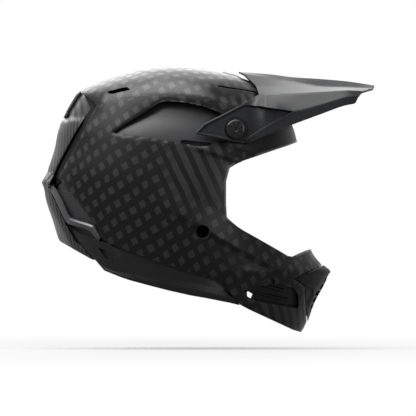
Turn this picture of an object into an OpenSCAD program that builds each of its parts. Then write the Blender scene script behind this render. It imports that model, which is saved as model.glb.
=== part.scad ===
// Full face helmet for downhill riding: a rigid shell with a tilting visor,
// a foam liner, an inner crown liner that slips in yaw, pads and a chin strap.
// X points the way the wearer faces, Y to the wearer's left, Z up.
// The origin is the centre of the wearer's head.

/* [Shell] */
// Length of the shell from the tail tip to the chin nose
shell_l = 322; // [300:1:345]
// Height of the shell from the chin tip to the crown
shell_h = 297; // [280:1:315]
// Width of the shell over the ears
shell_w = 242; // [232:1:256]
// Thickness of the shell wall
shell_t = 3.2; // [2.6:0.1:4]
// Thickness of the black trim pieces
trim_t = 2.4; // [2:0.1:3]
// Depth that the intake panels are sunk behind the shell surface
panel_sink = 6.5; // [5:0.5:8]
// Diameter of the cheek port bore
port_d = 14; // [10:0.5:16]

/* [Visor] */
// Width of the visor at its front edge
visor_w = 140; // [132:1:150]
// Thickness of the visor
visor_t = 2.8; // [2.2:0.1:4]
// Diameter of the visor screw head
screw_d = 21; // [18:0.5:24]
// Diameter of the visor screw shank
shank_d = 8; // [6:0.5:9]
// Radial running clearance of the screw in its bores
run_gap = 0.06; // [0.03:0.01:0.1]

/* [Liners] */
// Length of the head cavity
head_l = 212; // [206:1:216]
// Width of the head cavity
head_w = 172; // [166:1:176]
// Height of the cavity's dome above the head centre
head_h = 100; // [96:1:102]
// Radius of the socket in which the inner liner slips
socket_r = 122; // [120:0.5:123]
// Gap between the inner liner and its socket
slip_gap = 0.7; // [0.5:0.1:1]
// Height above the head centre at which the inner liner ends
slip_z = 70; // [66:1:72]
// Diameter of the slip anchors
anchor_d = 9; // [7:0.5:11]
// Half of the yaw that the slip anchors allow, in degrees
slip_yaw = 8; // [6:0.5:9]

/* [Pads and strap] */
// Thickness of the crown and brow pads
pad_t = 7; // [5:0.5:9]
// Thickness of the cheek pads
cheek_t = 24; // [18:1:27]
// Width of the chin strap
strap_w = 22; // [18:1:24]
// Thickness of the chin strap
strap_t = 1.8; // [1.4:0.1:2.2]

/* [Node] */
// Which piece is drawn

/* [Hidden] */
// Clearance that keeps separate pieces apart
gap = 0.3;
// Overrun of a cutter past the piece that it cuts
over = 40;
// Number of facets around the shell
shell_facets = 32;
// Number of facet rows down the shell
shell_rows = 17;
// Facets of exact round pieces
round_facets = 64;
// Facets of small balls and rods in hulls
rod_facets = 6;
// Facets of round cutters in faceted pieces
cut_facets = 20;
// Shares at which the head centre lies in the shell's length and height
centre_x_share = 0.4464;
centre_z_share = 0.5183;

// Rows of the shell form: height, centre, front and rear (shares), half width
// (share), then how square the front and the rear of the section are
form_shares = [
    [1, 0.4743, 0.4743, 0.4743, 0, 2.1, 2.1],
    [0.9974, 0.4638, 0.516, 0.4047, 0.1983, 2.1, 2.1],
    [0.9898, 0.4603, 0.5717, 0.3473, 0.3388, 2.1, 2.1],
    [0.9785, 0.4603, 0.6308, 0.3038, 0.4463, 2.1, 2.1],
    [0.9596, 0.4569, 0.6952, 0.2411, 0.5537, 2.1, 2.15],
    [0.937, 0.4569, 0.7457, 0.1855, 0.6446, 2.1, 2.2],
    [0.9068, 0.4603, 0.7891, 0.1298, 0.7273, 2.15, 2.2],
    [0.8691, 0.4638, 0.8257, 0.1037, 0.7975, 2.2, 2.2],
    [0.8201, 0.4673, 0.8535, 0.0793, 0.8554, 2.2, 2.2],
    [0.7635, 0.4708, 0.8779, 0.0585, 0.905, 2.2, 2.2],
    [0.688, 0.4743, 0.8928, 0.0438, 0.9463, 2.2, 2.2],
    [0.5937, 0.4812, 0.9005, 0.0184, 0.9835, 2.15, 2.15],
    [0.4994, 0.4882, 0.9057, 0.0202, 1, 2.05, 2.1],
    [0.4051, 0.4951, 0.9161, 0.0435, 0.9959, 1.95, 2.1],
    [0.3108, 0.5021, 0.937, 0.0706, 0.9669, 1.85, 2.1],
    [0.2542, 0.5056, 0.9753, 0.0915, 0.938, 1.8, 2.1],
    [0.2297, 0.5056, 0.9997, 0.1054, 0.9215, 1.8, 2.1],
    [0.2052, 0.5056, 0.9927, 0.1159, 0.9008, 1.8, 2.1],
    [0.1788, 0.509, 0.9823, 0.1263, 0.8802, 1.8, 2.1],
    [0.1109, 0.509, 0.9489, 0.1472, 0.8471, 1.8, 2.1],
    [0.0392, 0.509, 0.9248, 0.1611, 0.8099, 1.8, 2.1],
    [-0.006, 0.509, 0.9022, 0.1681, 0.7769, 1.8, 2.1]
];

// Outlines in side view as rows of two points, shares of length and height
keep_shares = [
    [0.1298, 1.0275], [0.1298, 0.9163], [0.1942, 0.854], [0.182, 0.8314], [0.1333, 0.7333],
    [0.0585, 0.5843], [0.0985, 0.5315], [0.1374, 0.4798], [0.182, 0.4164], [0.2074, 0.3591],
    [0.2376, 0.335], [0.3768, 0.2788], [0.516, 0.2278], [0.626, 0.1931], [0.6889, 0.1068],
    [0.7839, 0.0562], [0.8744, 0.0102], [0.8883, 0.003], [0.9022, 0], [0.9116, 0.0158],
    [0.9228, 0.0422], [0.9193, 0.0905], [0.9116, 0.1803], [0.8765, 0.2029], [0.9749, 0.2535],
    [1.0205, 0.2769], [1.0205, 1.0275]
];
eye_shares = [
    [[0.6413, 0.6126], [0.6413, 0.4429]], [[0.6482, 0.6171], [0.6482, 0.4293]],
    [[0.6917, 0.6447], [0.69, 0.3916]], [[0.7387, 0.6624], [0.7387, 0.3625]],
    [[0.7804, 0.6775], [0.7874, 0.332]], [[0.8205, 0.6922], [0.8302, 0.3059]],
    [[0.8431, 0.6994], [0.8667, 0.2818]], [[0.864, 0.7069], [0.8918, 0.2957]],
    [[0.8918, 0.7197], [0.9252, 0.3123]], [[1.0553, 0.7937], [1.0553, 0.3787]]
];
recess_shares = [
    [[0.2477, 0.7537], [0.2488, 0.7499]], [[0.3107, 0.7974], [0.3072, 0.7416]],
    [[0.3768, 0.8416], [0.3629, 0.7322]], [[0.4116, 0.8668], [0.4116, 0.7243]],
    [[0.4325, 0.8714], [0.4395, 0.7197]], [[0.4927, 0.868], [0.483, 0.7129]],
    [[0.5393, 0.8578], [0.5369, 0.7024]], [[0.5811, 0.8457], [0.5623, 0.6982]],
    [[0.6273, 0.822], [0.5901, 0.7084]], [[0.6656, 0.7974], [0.6204, 0.7205]],
    [[0.6865, 0.7748], [0.6761, 0.7371]]
];
top_vent_shares = [
    [[0.2272, 0.9057], [0.2432, 0.8963]], [[0.2446, 0.911], [0.2585, 0.9]],
    [[0.2655, 0.9166], [0.2759, 0.9046]], [[0.2864, 0.9219], [0.2933, 0.9083]],
    [[0.3003, 0.9234], [0.3107, 0.9129]]
];
slot_shares = [
    [[0.1834, 0.8465], [0.1994, 0.8314]], [[0.1729, 0.8382], [0.182, 0.8276]],
    [[0.1541, 0.8125], [0.1632, 0.7937]], [[0.135, 0.7786], [0.1437, 0.7582]],
    [[0.1193, 0.7522], [0.1204, 0.7137]], [[0.0901, 0.6933], [0.096, 0.6677]],
    [[0.0661, 0.645], [0.0724, 0.6183]], [[0.0463, 0.5975], [0.0588, 0.5832]],
    [[0.0254, 0.5522], [0.0428, 0.5636]]
];
frame_shares = [
    [[0.0379, 0.5628], [0.0247, 0.5485]], [[0.0567, 0.5319], [0.0435, 0.5108]],
    [[0.0769, 0.4904], [0.0616, 0.4693]], [[0.0936, 0.4481], [0.0825, 0.4225]],
    [[0.1033, 0.4338], [0.095, 0.4081]], [[0.1298, 0.4225], [0.1214, 0.4006]],
    [[0.1597, 0.4127], [0.1521, 0.3916]], [[0.1834, 0.4036], [0.1729, 0.3802]],
    [[0.1952, 0.381], [0.1841, 0.3651]], [[0.2067, 0.3568], [0.2001, 0.347]]
];
skirt_shares = [
    [[0.088, 0.4081], [0.1193, 0.3485]], [[0.1124, 0.3878], [0.1507, 0.3146]],
    [[0.1367, 0.3734], [0.1889, 0.2731]], [[0.182, 0.3546], [0.2192, 0.2343]],
    [[0.2376, 0.3335], [0.2749, 0.2101]], [[0.3072, 0.3055], [0.3083, 0.198]],
    [[0.3768, 0.2773], [0.3768, 0.178]], [[0.4464, 0.252], [0.4419, 0.1599]],
    [[0.516, 0.2263], [0.516, 0.1418]], [[0.5717, 0.209], [0.5717, 0.1313]],
    [[0.6249, 0.1916], [0.6204, 0.1207]], [[0.6587, 0.1479], [0.6552, 0.1132]],
    [[0.6879, 0.1071], [0.6862, 0.1049]]
];
rim_low_shares = [
    [0.0637, 0.2656], [0.1889, 0.2716], [0.2192, 0.2327], [0.2749, 0.2086], [0.3768, 0.1765],
    [0.516, 0.1399], [0.6204, 0.1188], [0.6889, 0.1034], [0.6889, -0.0475], [0.0637, -0.0475]
];
skirt_vent_shares = [
    [[0.1994, 0.3199], [0.2029, 0.3127]], [[0.2168, 0.3131], [0.2133, 0.2972]],
    [[0.2394, 0.301], [0.2265, 0.2799]], [[0.2561, 0.2833], [0.2526, 0.2739]]
];
tail_shares = [
    [[0.1308, 0.9129], [0.1308, 0.888]], [[0.1715, 0.8412], [0.0776, 0.805]],
    [[0.1527, 0.8125], [0.0532, 0.7484]], [[0.1333, 0.7786], [0.0289, 0.688]],
    [[0.118, 0.7522], [0.015, 0.6503]], [[0.0884, 0.6933], [-0.0059, 0.6201]],
    [[0.0644, 0.645], [-0.0198, 0.5975]], [[0.0442, 0.5975], [-0.0268, 0.5749]],
    [[0.0226, 0.5485], [-0.0303, 0.5485]], [[0.0595, 0.467], [-0.0198, 0.4994]],
    [[0.0846, 0.4089], [-0.0059, 0.424]], [[0.1166, 0.3463], [0.0358, 0.3618]],
    [[0.1875, 0.2708], [0.167, 0.2814]]
];
exhaust_shares = [
    [[0.1308, 0.9091], [0.1298, 0.8729]], [[0.1193, 0.8917], [0.1193, 0.854]],
    [[0.1089, 0.8759], [0.1089, 0.8397]], [[0.0985, 0.8601], [0.0985, 0.8261]],
    [[0.088, 0.8435], [0.0901, 0.814]], [[0.0797, 0.8299], [0.0866, 0.8118]],
    [[0.0741, 0.8201], [0.0797, 0.8072]], [[0.0672, 0.8125], [0.0706, 0.7899]],
    [[0.0567, 0.7974], [0.0532, 0.7559]]
];
insert_shares = [
    [[0.8772, 0.2029], [0.88, 0.2022]], [[0.9127, 0.2207], [0.9141, 0.1803]],
    [[0.9196, 0.2241], [0.9207, 0.0905]], [[0.9238, 0.226], [0.9245, 0.043]],
    [[0.9475, 0.2384], [0.928, 0.0317]], [[0.9683, 0.249], [0.944, 0.0392]],
    [[0.9823, 0.2565], [0.9544, 0.0543]], [[0.9997, 0.2656], [0.9753, 0.077]],
    [[1.017, 0.2731], [1.0031, 0.1222]], [[1.0379, 0.2806], [1.0379, 0.2354]]
];
gill_shares = [
    [[0.7491, 0.1735], [0.7234, 0.1275]], [[0.7665, 0.1762], [0.7457, 0.12]],
    [[0.7839, 0.1803], [0.7665, 0.1147]], [[0.8013, 0.1841], [0.7909, 0.1094]],
    [[0.8187, 0.1856], [0.8152, 0.1041]], [[0.8396, 0.1803], [0.8396, 0.0996]],
    [[0.864, 0.1705], [0.864, 0.0943]], [[0.8876, 0.163], [0.8925, 0.089]]
];
upper_vent_shares = [
    [[0.7523, 0.1931], [0.7582, 0.1916]], [[0.7756, 0.2022], [0.777, 0.1863]],
    [[0.8003, 0.2105], [0.7968, 0.1811]], [[0.8135, 0.1879], [0.8118, 0.1841]]
];
lower_vent_shares = [
    [[0.6966, 0.1648], [0.699, 0.1607]], [[0.7109, 0.1599], [0.7112, 0.1396]],
    [[0.7223, 0.155], [0.7234, 0.1283]], [[0.7484, 0.1316], [0.7373, 0.126]]
];
foam_shares = [
    [-0.0407, 1.0275], [-0.0407, 0.5372], [0.0637, 0.3787], [0.1889, 0.2957], [0.3072, 0.2392],
    [0.4464, 0.192], [0.6308, 0.1467], [0.6308, 0.424], [0.6239, 0.4542], [0.6239, 0.6051],
    [0.6587, 0.6409], [0.8118, 0.705], [0.8674, 0.7295], [0.8674, 1.0275]
];
chin_foam_shares = [
    [0.6761, 0.3825], [0.7665, 0.3259], [0.8292, 0.2863], [0.8657, 0.2637], [0.8987, 0.2712],
    [0.9544, 0.2373], [0.9405, 0.1826], [0.9057, 0.0392], [0.8918, 0.0241], [0.7665, 0.0883],
    [0.6761, 0.1335]
];
brow_shares = [
    [0.8257, 0.6971], [0.8862, 0.7212], [0.8709, 0.7673], [0.8152, 0.7673]
];
hood_shares = [
    [0.6134, 0.9283], [0.7491, 0.9049], [0.7352, 0.9313], [0.6865, 0.9634], [0.6371, 0.9883],
    [0.6287, 0.9762]
];
crest_shares = [
    [0.1959, 0.8563], [0.3072, 0.8831], [0.4464, 0.8966], [0.5856, 0.8804], [0.6273, 0.9295]
];
arm_shares = [
    [[0.5344, 0.751], [0.5393, 0.7446]], [[0.5644, 0.785], [0.5786, 0.7371]],
    [[0.596, 0.8027], [0.6065, 0.7299]], [[0.6291, 0.8189], [0.6413, 0.722]],
    [[0.6621, 0.8382], [0.6761, 0.716]], [[0.6935, 0.8555], [0.7039, 0.7122]],
    [[0.7248, 0.8736], [0.7352, 0.7227]], [[0.7526, 0.8895], [0.7665, 0.7378]],
    [[0.7804, 0.8744], [0.7978, 0.7529]], [[0.8083, 0.854], [0.8292, 0.7688]],
    [[0.8431, 0.8389], [0.8535, 0.7801]]
];

// Visor rails from the centre ridge down to the lower edge: share of length,
// share of height and share of the visor's half width, one row per station
visor_shares = [
    [[0.6875, 0.983, 0], [0.7029, 0.9766, 0.1714], [0.7457, 0.931, 0.5714], [0.7571, 0.8955, 0.9429], [0.7457, 0.8521, 1.2571], [0.7109, 0.7107, 1.4429]],
    [[0.7944, 0.9736, 0], [0.7944, 0.9589, 0.1714], [0.8013, 0.9287, 0.5143], [0.8048, 0.8955, 0.9429], [0.8118, 0.8427, 1.2571], [0.7944, 0.7484, 1.3571]],
    [[0.8744, 0.9627, 0], [0.8744, 0.9461, 0.1714], [0.8814, 0.9264, 0.5143], [0.8814, 0.8985, 0.9571], [0.8779, 0.8325, 1.2], [0.8685, 0.785, 1.2571]],
    [[0.9788, 0.9551, 0], [0.9788, 0.9295, 0.1714], [0.9788, 0.9242, 0.4857], [0.9753, 0.9057, 0.9429], [0.9753, 0.8597, 1.1143], [0.9718, 0.8269, 1.1571]],
    [[1.0727, 0.9457, 0], [1.0727, 0.9249, 0.1714], [1.0658, 0.9219, 0.4714], [1.0588, 0.9114, 0.9143], [1.0518, 0.8842, 1.0286], [1.0449, 0.8559, 1.0714]],
    [[1.1569, 0.9313, 0], [1.151, 0.9197, 0.1714], [1.1388, 0.9166, 0.4571], [1.1145, 0.9087, 0.8286], [1.1006, 0.8899, 0.9429], [1.0901, 0.8653, 0.9714]]
];

// Where the visor screw and the cheek port lie, shares of length and height
pivot_share = [0.6747, 0.7646];
port_share = [0.5598, 0.3802];

// Derived lengths
half_w = shell_w / 2;
pivot_x = sx(pivot_share[0]);
pivot_z = sz(pivot_share[1]);
port_x = sx(port_share[0]);
port_z = sz(port_share[1]);
foam_off = shell_t + 1.5;
socket_z = -socket_r / 15;
slip_r = socket_r - slip_gap;

// Small lengths of the trim, in named pieces
bead_w = 2.2;
rim_w = 1;
seat_w = 4.5;
strip_w = 46;
insert_r = shank_d / 2 + 2.6;
slat_r = 2.6;
post_w = 4.8;
rib_w = 2.2;
rib_l = 44;
rib_pitch = 6.4;
rib_lean = 13;
rib_count = 3;
groove_r = 9;
chin_t = 11;
// Thickness of the hook tape behind the pads, which clears the cavity's facets
tape_t = 0.85;
plate_t = 1.8;
plate_in = tape_t + 2 * gap + plate_t;
ring_r = 1.7;
bolt_r = 3;

// Slats of the mouth guard: height share, half width share
slat_shares = [[-0.5, 0.7], [-0.25, 0.85], [0, 1], [0.25, 0.8], [0.5, 0.6]];
mouth_x = 0.4 * shell_l;
mouth_z = sz(0.148);
mouth_h = 0.1 * shell_h;
mouth_w = 0.075 * shell_l;
skirt_rear = sx(0.083);
gill_x = sx(0.8);
gill_z = sz(0.137);

// Bearings of the slip anchors and places of the liner's grooves
anchor_bearings = [40, 140, 220, 320];
groove_shares = [-0.62, -0.3, 0.3, 0.62];
brow_low = 44;
brow_high = slip_z - 6 * gap;
neck_low = -62;
neck_high = -34;

// Where the visor's section is sampled, in rails from its centre ridge
visor_steps = [-5, -4, -3, -2, -1, 0, 1, 2, 3, 4, 5];

// Cheek pad in side view: place, low and high share, one row per station
cheek_shares = [
    [0.3072, 0.3108, 0.4806],
    [0.3768, 0.2429, 0.5447],
    [0.4638, 0.2127, 0.5786],
    [0.5508, 0.1939, 0.59],
    [0.6134, 0.1826, 0.5145],
    [0.6691, 0.1788, 0.3787]
];

// Chin strap paths: length, half width and height shares, then the width's tilt
strap_short_shares = [
    [0.068, 0.72, -0.215, 0], [0.07, 0.72, -0.26, 0], [0.074, 0.72, -0.305, 0], [0.082, 0.68, -0.338, 0],
    [0.092, 0.6, -0.353, 0], [0.1, 0.5, -0.361, 0], [0.103, 0.4, -0.3645, 0]
];
strap_long_shares = [
    [0.068, -0.72, -0.215, 0], [0.07, -0.72, -0.26, 0], [0.074, -0.72, -0.305, 0], [0.082, -0.68, -0.338, 0],
    [0.092, -0.6, -0.353, 0], [0.1, -0.45, -0.364, 0], [0.106, -0.2, -0.3705, 0], [0.106, 0, -0.372, 0], [0.106, 0.2, -0.3715, 0],
    [0.104, 0.3, -0.3707, 0]
];
bolt_x = 0.068 * shell_l;
bolt_z = -0.226 * shell_h;
bolt_y = side_y(bolt_x, bolt_z) - foam_off - gap;
// Where the strap lies flat against the foam, and the room cut for it there
strap_y = 0.72 * half_w;
strap_room = strap_w + 2;
strap_foot = -0.4 * shell_h;

// Height share to length, measured from the head centre
function sx(s) = (s - centre_x_share) * shell_l;
function sz(s) = (s - centre_z_share) * shell_h;
function plan(list) = [for (p = list) [sx(p[0]), sz(p[1])]];

// Smooth value between four neighbours, at share t of the middle span
function cubic(a, b, c, d, t) =
    b + t / 2 * (c - a + t * (2 * a - 5 * b + 4 * c - d + t * (3 * (b - c) + d - a)));
function clamp(i, n) = max(0, min(n, i));
function smooth(list, u) =
    let (n = len(list) - 1, i = clamp(floor(u), n - 1), t = u - i)
    cubic(list[clamp(i - 1, n)], list[i], list[i + 1], list[clamp(i + 2, n)], t);
function power(v, e) = sign(v) * pow(abs(v), e);

// Point of the shell form at angle a and row u
function form(a, u) =
    let (r = smooth(form_shares, u), c = cos(a), s = sin(a))
    let (reach = c >= 0 ? r[2] - r[1] : r[1] - r[3], e = 2 / (c >= 0 ? r[5] : r[6]))
    [sx(r[1] + reach * power(c, e)), half_w * r[4] * power(s, e), sz(r[0])];
// Unit normal of the form, pointing outward
function form_n(a, u) =
    let (da = form(a + 1.5, u) - form(a - 1.5, u), du = form(a, u + 0.05) - form(a, u - 0.05))
    let (n = cross(du, da))
    u < 0.01 ? [0, 0, 1] : n / max(norm(n), 1e-6);
function form_at(a, u, off) = form(a, u) + off * form_n(a, u);

// Row of the form at a height, found by halving the range
function row_at(z, lo = 0, hi = 19, n = 14) =
    n == 0 ? (lo + hi) / 2 :
    let (m = (lo + hi) / 2)
    sz(smooth(form_shares, m)[0]) > z ? row_at(z, m, hi, n - 1) : row_at(z, lo, m, n - 1);
// Half width of the form at a place in side view
function side_y(x, z) =
    let (r = smooth(form_shares, row_at(z)), d = x - sx(r[1]))
    let (reach = (d >= 0 ? r[2] - r[1] : r[1] - r[3]) * shell_l, e = d >= 0 ? r[5] : r[6])
    half_w * r[4] * pow(max(0.0001, 1 - pow(min(1, abs(d) / reach), e)), 1 / e);

// Solid of the shell form, grown by off, its facets alike on both sides
module shell_form(off, facets = shell_facets, rows = shell_rows) {
    last = len(form_shares) - 1;
    tip = form_at(0, 0, off);
    rings = [for (j = [1:rows], i = [0:facets - 1]) form_at(i * 360 / facets, j * last / rows, off)];
    foot = [for (i = [0:facets - 1]) form_at(i * 360 / facets, last, off) - [0, 0, over]];
    base = (rows - 1) * facets + 1;
    faces = concat(
        [for (i = [0:facets - 1]) [0, 1 + i, 1 + (i + 1) % facets]],
        [for (j = [0:rows - 1], i = [0:facets - 1])
            let (k = 1 + j * facets, m = (i + 1) % facets, left = i < facets / 2)
            [k + i, k + facets + i, left ? k + facets + m : k + m]],
        [for (j = [0:rows - 1], i = [0:facets - 1])
            let (k = 1 + j * facets, m = (i + 1) % facets, left = i < facets / 2)
            [left ? k + i : k + facets + i, k + facets + m, k + m]],
        [[for (i = [0:facets - 1]) 1 + rows * facets + facets - 1 - i]]);
    polyhedron(concat([tip], rings, foot), [for (f = faces) [for (i = [len(f) - 1:-1:0]) f[i]]]);
}

// Prism of a side view outline, through the whole width
module prism(list) {
    rotate([90, 0, 0])
        linear_extrude(height = 2 * shell_w, center = true)
            polygon(list);
}

// Prism of an outline given as rows of two points, grown in its plane
module band(rows, grow = 0) {
    for (i = [0:len(rows) - 2])
        hull()
            rotate([90, 0, 0])
                linear_extrude(height = 2 * shell_w, center = true)
                    offset(delta = grow)
                        polygon(plan([rows[i][0], rows[i][1], rows[i + 1][1], rows[i + 1][0]]));
}

// One side of the helmet, for pieces that are alike on both: 1 is left, -1 is right
module one_side(side) {
    mirror([0, side > 0 ? 1 : 0, 0])
        intersection() {
            children();
            translate([-shell_l, -gap - shell_w, -shell_h]) cube([2 * shell_l, shell_w, 2 * shell_h]);
        }
}

// Wall of the shell form between two depths
module wall(out, depth) {
    difference() {
        shell_form(out);
        shell_form(-depth);
    }
}

// Closed solid between two grids of points of the same size
module patch(top, low) {
    n = len(top);
    m = len(top[0]);
    points = concat([for (r = top, p = r) p], [for (r = low, p = r) p]);
    k = n * m;
    faces = concat(
        [for (i = [0:n - 2], j = [0:m - 2]) [i * m + j, (i + 1) * m + j, (i + 1) * m + j + 1]],
        [for (i = [0:n - 2], j = [0:m - 2]) [i * m + j, (i + 1) * m + j + 1, i * m + j + 1]],
        [for (i = [0:n - 2], j = [0:m - 2]) [k + i * m + j, k + (i + 1) * m + j + 1, k + (i + 1) * m + j]],
        [for (i = [0:n - 2], j = [0:m - 2]) [k + i * m + j, k + i * m + j + 1, k + (i + 1) * m + j + 1]],
        [for (j = [0:m - 2]) [j, j + 1, k + j + 1]],
        [for (j = [0:m - 2]) [j, k + j + 1, k + j]],
        [for (j = [0:m - 2]) let (b = (n - 1) * m) [b + j, k + b + j + 1, b + j + 1]],
        [for (j = [0:m - 2]) let (b = (n - 1) * m) [b + j, k + b + j, k + b + j + 1]],
        [for (i = [0:n - 2]) [i * m, k + i * m, k + (i + 1) * m]],
        [for (i = [0:n - 2]) [i * m, k + (i + 1) * m, (i + 1) * m]],
        [for (i = [0:n - 2]) let (e = m - 1) [i * m + e, k + (i + 1) * m + e, k + i * m + e]],
        [for (i = [0:n - 2]) let (e = m - 1) [i * m + e, (i + 1) * m + e, k + (i + 1) * m + e]]);
    polyhedron(points, faces);
}

// Rod along a list of points
module rod(points, r) {
    for (i = [0:len(points) - 2])
        hull() {
            translate(points[i]) sphere(r = r, $fn = rod_facets);
            translate(points[i + 1]) sphere(r = r, $fn = rod_facets);
        }
}

// Unit normal on a grid of points, by its neighbours
function grid_n(g, i, j) =
    let (n = len(g) - 1, m = len(g[0]) - 1)
    let (a = g[clamp(i + 1, n)][j] - g[clamp(i - 1, n)][j])
    let (b = g[i][clamp(j + 1, m)] - g[i][clamp(j - 1, m)], c = cross(a, b))
    c / max(norm(c), 0.000001);
// Grid moved along its normals, inward for a patch
function sink(g, d) = [for (i = [0:len(g) - 1]) [for (j = [0:len(g[0]) - 1]) g[i][j] + d * grid_n(g, i, j)]];
// Point on the head cavity's dome in direction d, inward by t
function dome(d, t) =
    let (u = d / norm(d))
    [(head_l / 2 - t) * u[0], (head_w / 2 - t) * u[1], (head_h - t) * u[2]];
// Half width of the head cavity at a place along its length
function cavity_y(x) = head_w / 2 * sqrt(max(0, 1 - pow(2 * x / head_l, 2)));

// Pins and bores on the visor axis
shank_r = shank_d / 2;
bore_r = shank_r + run_gap;
boss_r = 0.62 * screw_d;
boss_y = side_y(pivot_x, pivot_z) + trim_t / 2;
boss_depth = 2.5 * shell_t;
washer_t = trim_t / 2;
hub_y = boss_y + washer_t + gap / 2;
hub_t = 1.6 * visor_t;
bush_r = shank_r + 2;
flange_t = washer_t * 0.7;
head_y = hub_y + hub_t + flange_t + gap / 2;
head_t = 0.2 * screw_d;
visor_rise = 1.3 * visor_t;

// Round bar along Y from one height to another
module bar(x, z, r, y0, y1, facets = round_facets) {
    translate([x, y0, z])
        rotate([-90, 0, 0])
            cylinder(h = y1 - y0, r = r, $fn = facets);
}
// The same drawn on both sides
module both() {
    children();
    mirror([0, 1, 0]) children();
}
// Room for the head
module cavity() {
    scale([head_l / 2, head_w / 2, head_h]) sphere(r = 1, $fn = 28);
    translate([0, 0, -shell_h])
        scale([head_l / 2, head_w / 2, shell_h]) cylinder(h = 1, r = 1, $fn = 28);
}
// Flange that seats a trim piece under the shell's inner face
module flange(rows, grow) {
    intersection() {
        difference() {
            shell_form(-shell_t);
            shell_form(-foam_off);
        }
        band(rows, grow);
    }
}
// Trim piece of an outline, with its outer face sunk behind the shell's
module trim(rows, sunk) {
    intersection() {
        wall(-sunk, foam_off);
        band(rows);
    }
}

module outer_shell() {
    color("#2a2a2d") {
        difference() {
            union() {
                intersection() {
                    wall(0, shell_t);
                    prism(plan(keep_shares));
                }
                intersection() {
                    wall(visor_t * 0.7, shell_t / 2);
                    prism(plan(hood_shares));
                }
            }
            band(eye_shares, bead_w);
            band(recess_shares);
            band(top_vent_shares);
            band(gill_shares);
            band(upper_vent_shares);
            band(lower_vent_shares);
            both() bar(pivot_x, pivot_z, boss_r + gap, boss_y, shell_w, cut_facets);
            both() bar(pivot_x, pivot_z, insert_r + gap, 0, shell_w, cut_facets);
            both() bar(pivot_x, pivot_z, insert_r + 2 * rim_w, 0, boss_y - boss_depth, cut_facets);
            both() bar(port_x, port_z, port_d / 2 + rim_w + gap, 0, shell_w, cut_facets);
        }
        both()
            difference() {
                bar(pivot_x, pivot_z, boss_r + gap / 2, boss_y - boss_depth, boss_y, cut_facets);
                bar(pivot_x, pivot_z, insert_r + gap, 0, shell_w, cut_facets);
            }
    }
}

module tail_panel() {
    color("#2a2a2d")
        difference() {
            intersection() {
                wall(0, shell_t);
                band(tail_shares);
            }
            intersection() {
                band(exhaust_shares, gap);
                translate([-shell_l, -strip_w / 2, -shell_h]) cube([shell_l, strip_w, 2 * shell_h]);
            }
        }
}

module exhaust_strip() {
    color("#111113")
        intersection() {
            union() {
                wall(-trim_t, foam_off);
                wall(0, shell_t);
            }
            band(exhaust_shares);
            translate([-shell_l, -strip_w / 2, -shell_h]) cube([shell_l, strip_w, 2 * shell_h]);
        }
}

module slot_bed() {
    color("#0f0f11")
        difference() {
            flange(slot_shares, seat_w);
            band(frame_shares, gap);
        }
}

module vent_frame(side) {
    color("#3c3c40")
        one_side(side) {
            union() {
                trim(frame_shares, trim_t / 4);
                difference() {
                    flange(frame_shares, 0.9 * seat_w);
                    band(slot_shares, seat_w + gap);
                    band(skirt_shares, gap);
                }
            }
        }
}
module vent_frame_left() { vent_frame(1); }
module vent_frame_right() { vent_frame(-1); }

module intake_panel(side) {
    color("#4a4c52")
        one_side(side)
            difference() {
                intersection() {
                    wall(-panel_sink, panel_sink + trim_t);
                    band(recess_shares, seat_w);
                }
                mirror([0, 1, 0]) bar(pivot_x, pivot_z, boss_r + 2 * gap, 0, shell_w, cut_facets);
            }
}
module intake_panel_left() { intake_panel(1); }
module intake_panel_right() { intake_panel(-1); }

module skirt(side) {
    color("#161618")
        one_side(side)
            difference() {
                union() {
                    trim(skirt_shares, trim_t / 3);
                    difference() {
                        flange(skirt_shares, seat_w);
                        band(frame_shares, seat_w + gap);
                    }
                }
                band(skirt_vent_shares);
                prism(plan(rim_low_shares));
                translate([-shell_l, -shell_w, -shell_h]) cube([shell_l + skirt_rear, 2 * shell_w, 2 * shell_h]);
            }
}
module skirt_left() { skirt(1); }
module skirt_right() { skirt(-1); }

module mouth_guard() {
    color("#1a1a1c")
        difference() {
            union() {
                trim(insert_shares, 0);
                flange(insert_shares, seat_w);
            }
            for (k = slat_shares, side = [-1, 1])
                hull()
                    for (y = [slat_r + post_w / 2, mouth_w * k[1]])
                        translate([mouth_x, side * y, mouth_z + mouth_h * k[0]])
                            rotate([0, 90, 0]) cylinder(h = over, r = slat_r, $fn = rod_facets);
        }
}

module mouth_filter() {
    color("#0c0c0d")
        intersection() {
            wall(-foam_off, foam_off + trim_t);
            band(insert_shares);
            translate([0, -0.7 * mouth_w, -shell_h]) cube([shell_l, 1.4 * mouth_w, 2 * shell_h]);
        }
}

module gill(side) {
    color("#0e0e10")
        one_side(side)
            difference() {
                union() {
                    flange(gill_shares, seat_w / 2);
                    for (k = [0:rib_count - 1])
                        intersection() {
                            wall(-trim_t / 2, foam_off);
                            band(gill_shares);
                            translate([gill_x, 0, gill_z + (k - 1) * rib_pitch])
                                rotate([0, rib_lean, 0]) cube([rib_l, shell_w, rib_w], center = true);
                        }
                }
                band(insert_shares, seat_w + gap);
                band(upper_vent_shares, gap);
                band(lower_vent_shares, gap);
            }
}
module gill_left() { gill(1); }
module gill_right() { gill(-1); }

module eye_trim() {
    color("#1b1b1e")
        difference() {
            intersection() {
                wall(bead_w / 3, foam_off);
                band(eye_shares, bead_w);
            }
            band(eye_shares);
        }
}

module top_grille() {
    color("#111113")
        for (side = [-1, 1])
            one_side(side) {
                trim(top_vent_shares, trim_t / 2);
                flange(top_vent_shares, 0.4 * seat_w);
            }
}

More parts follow.
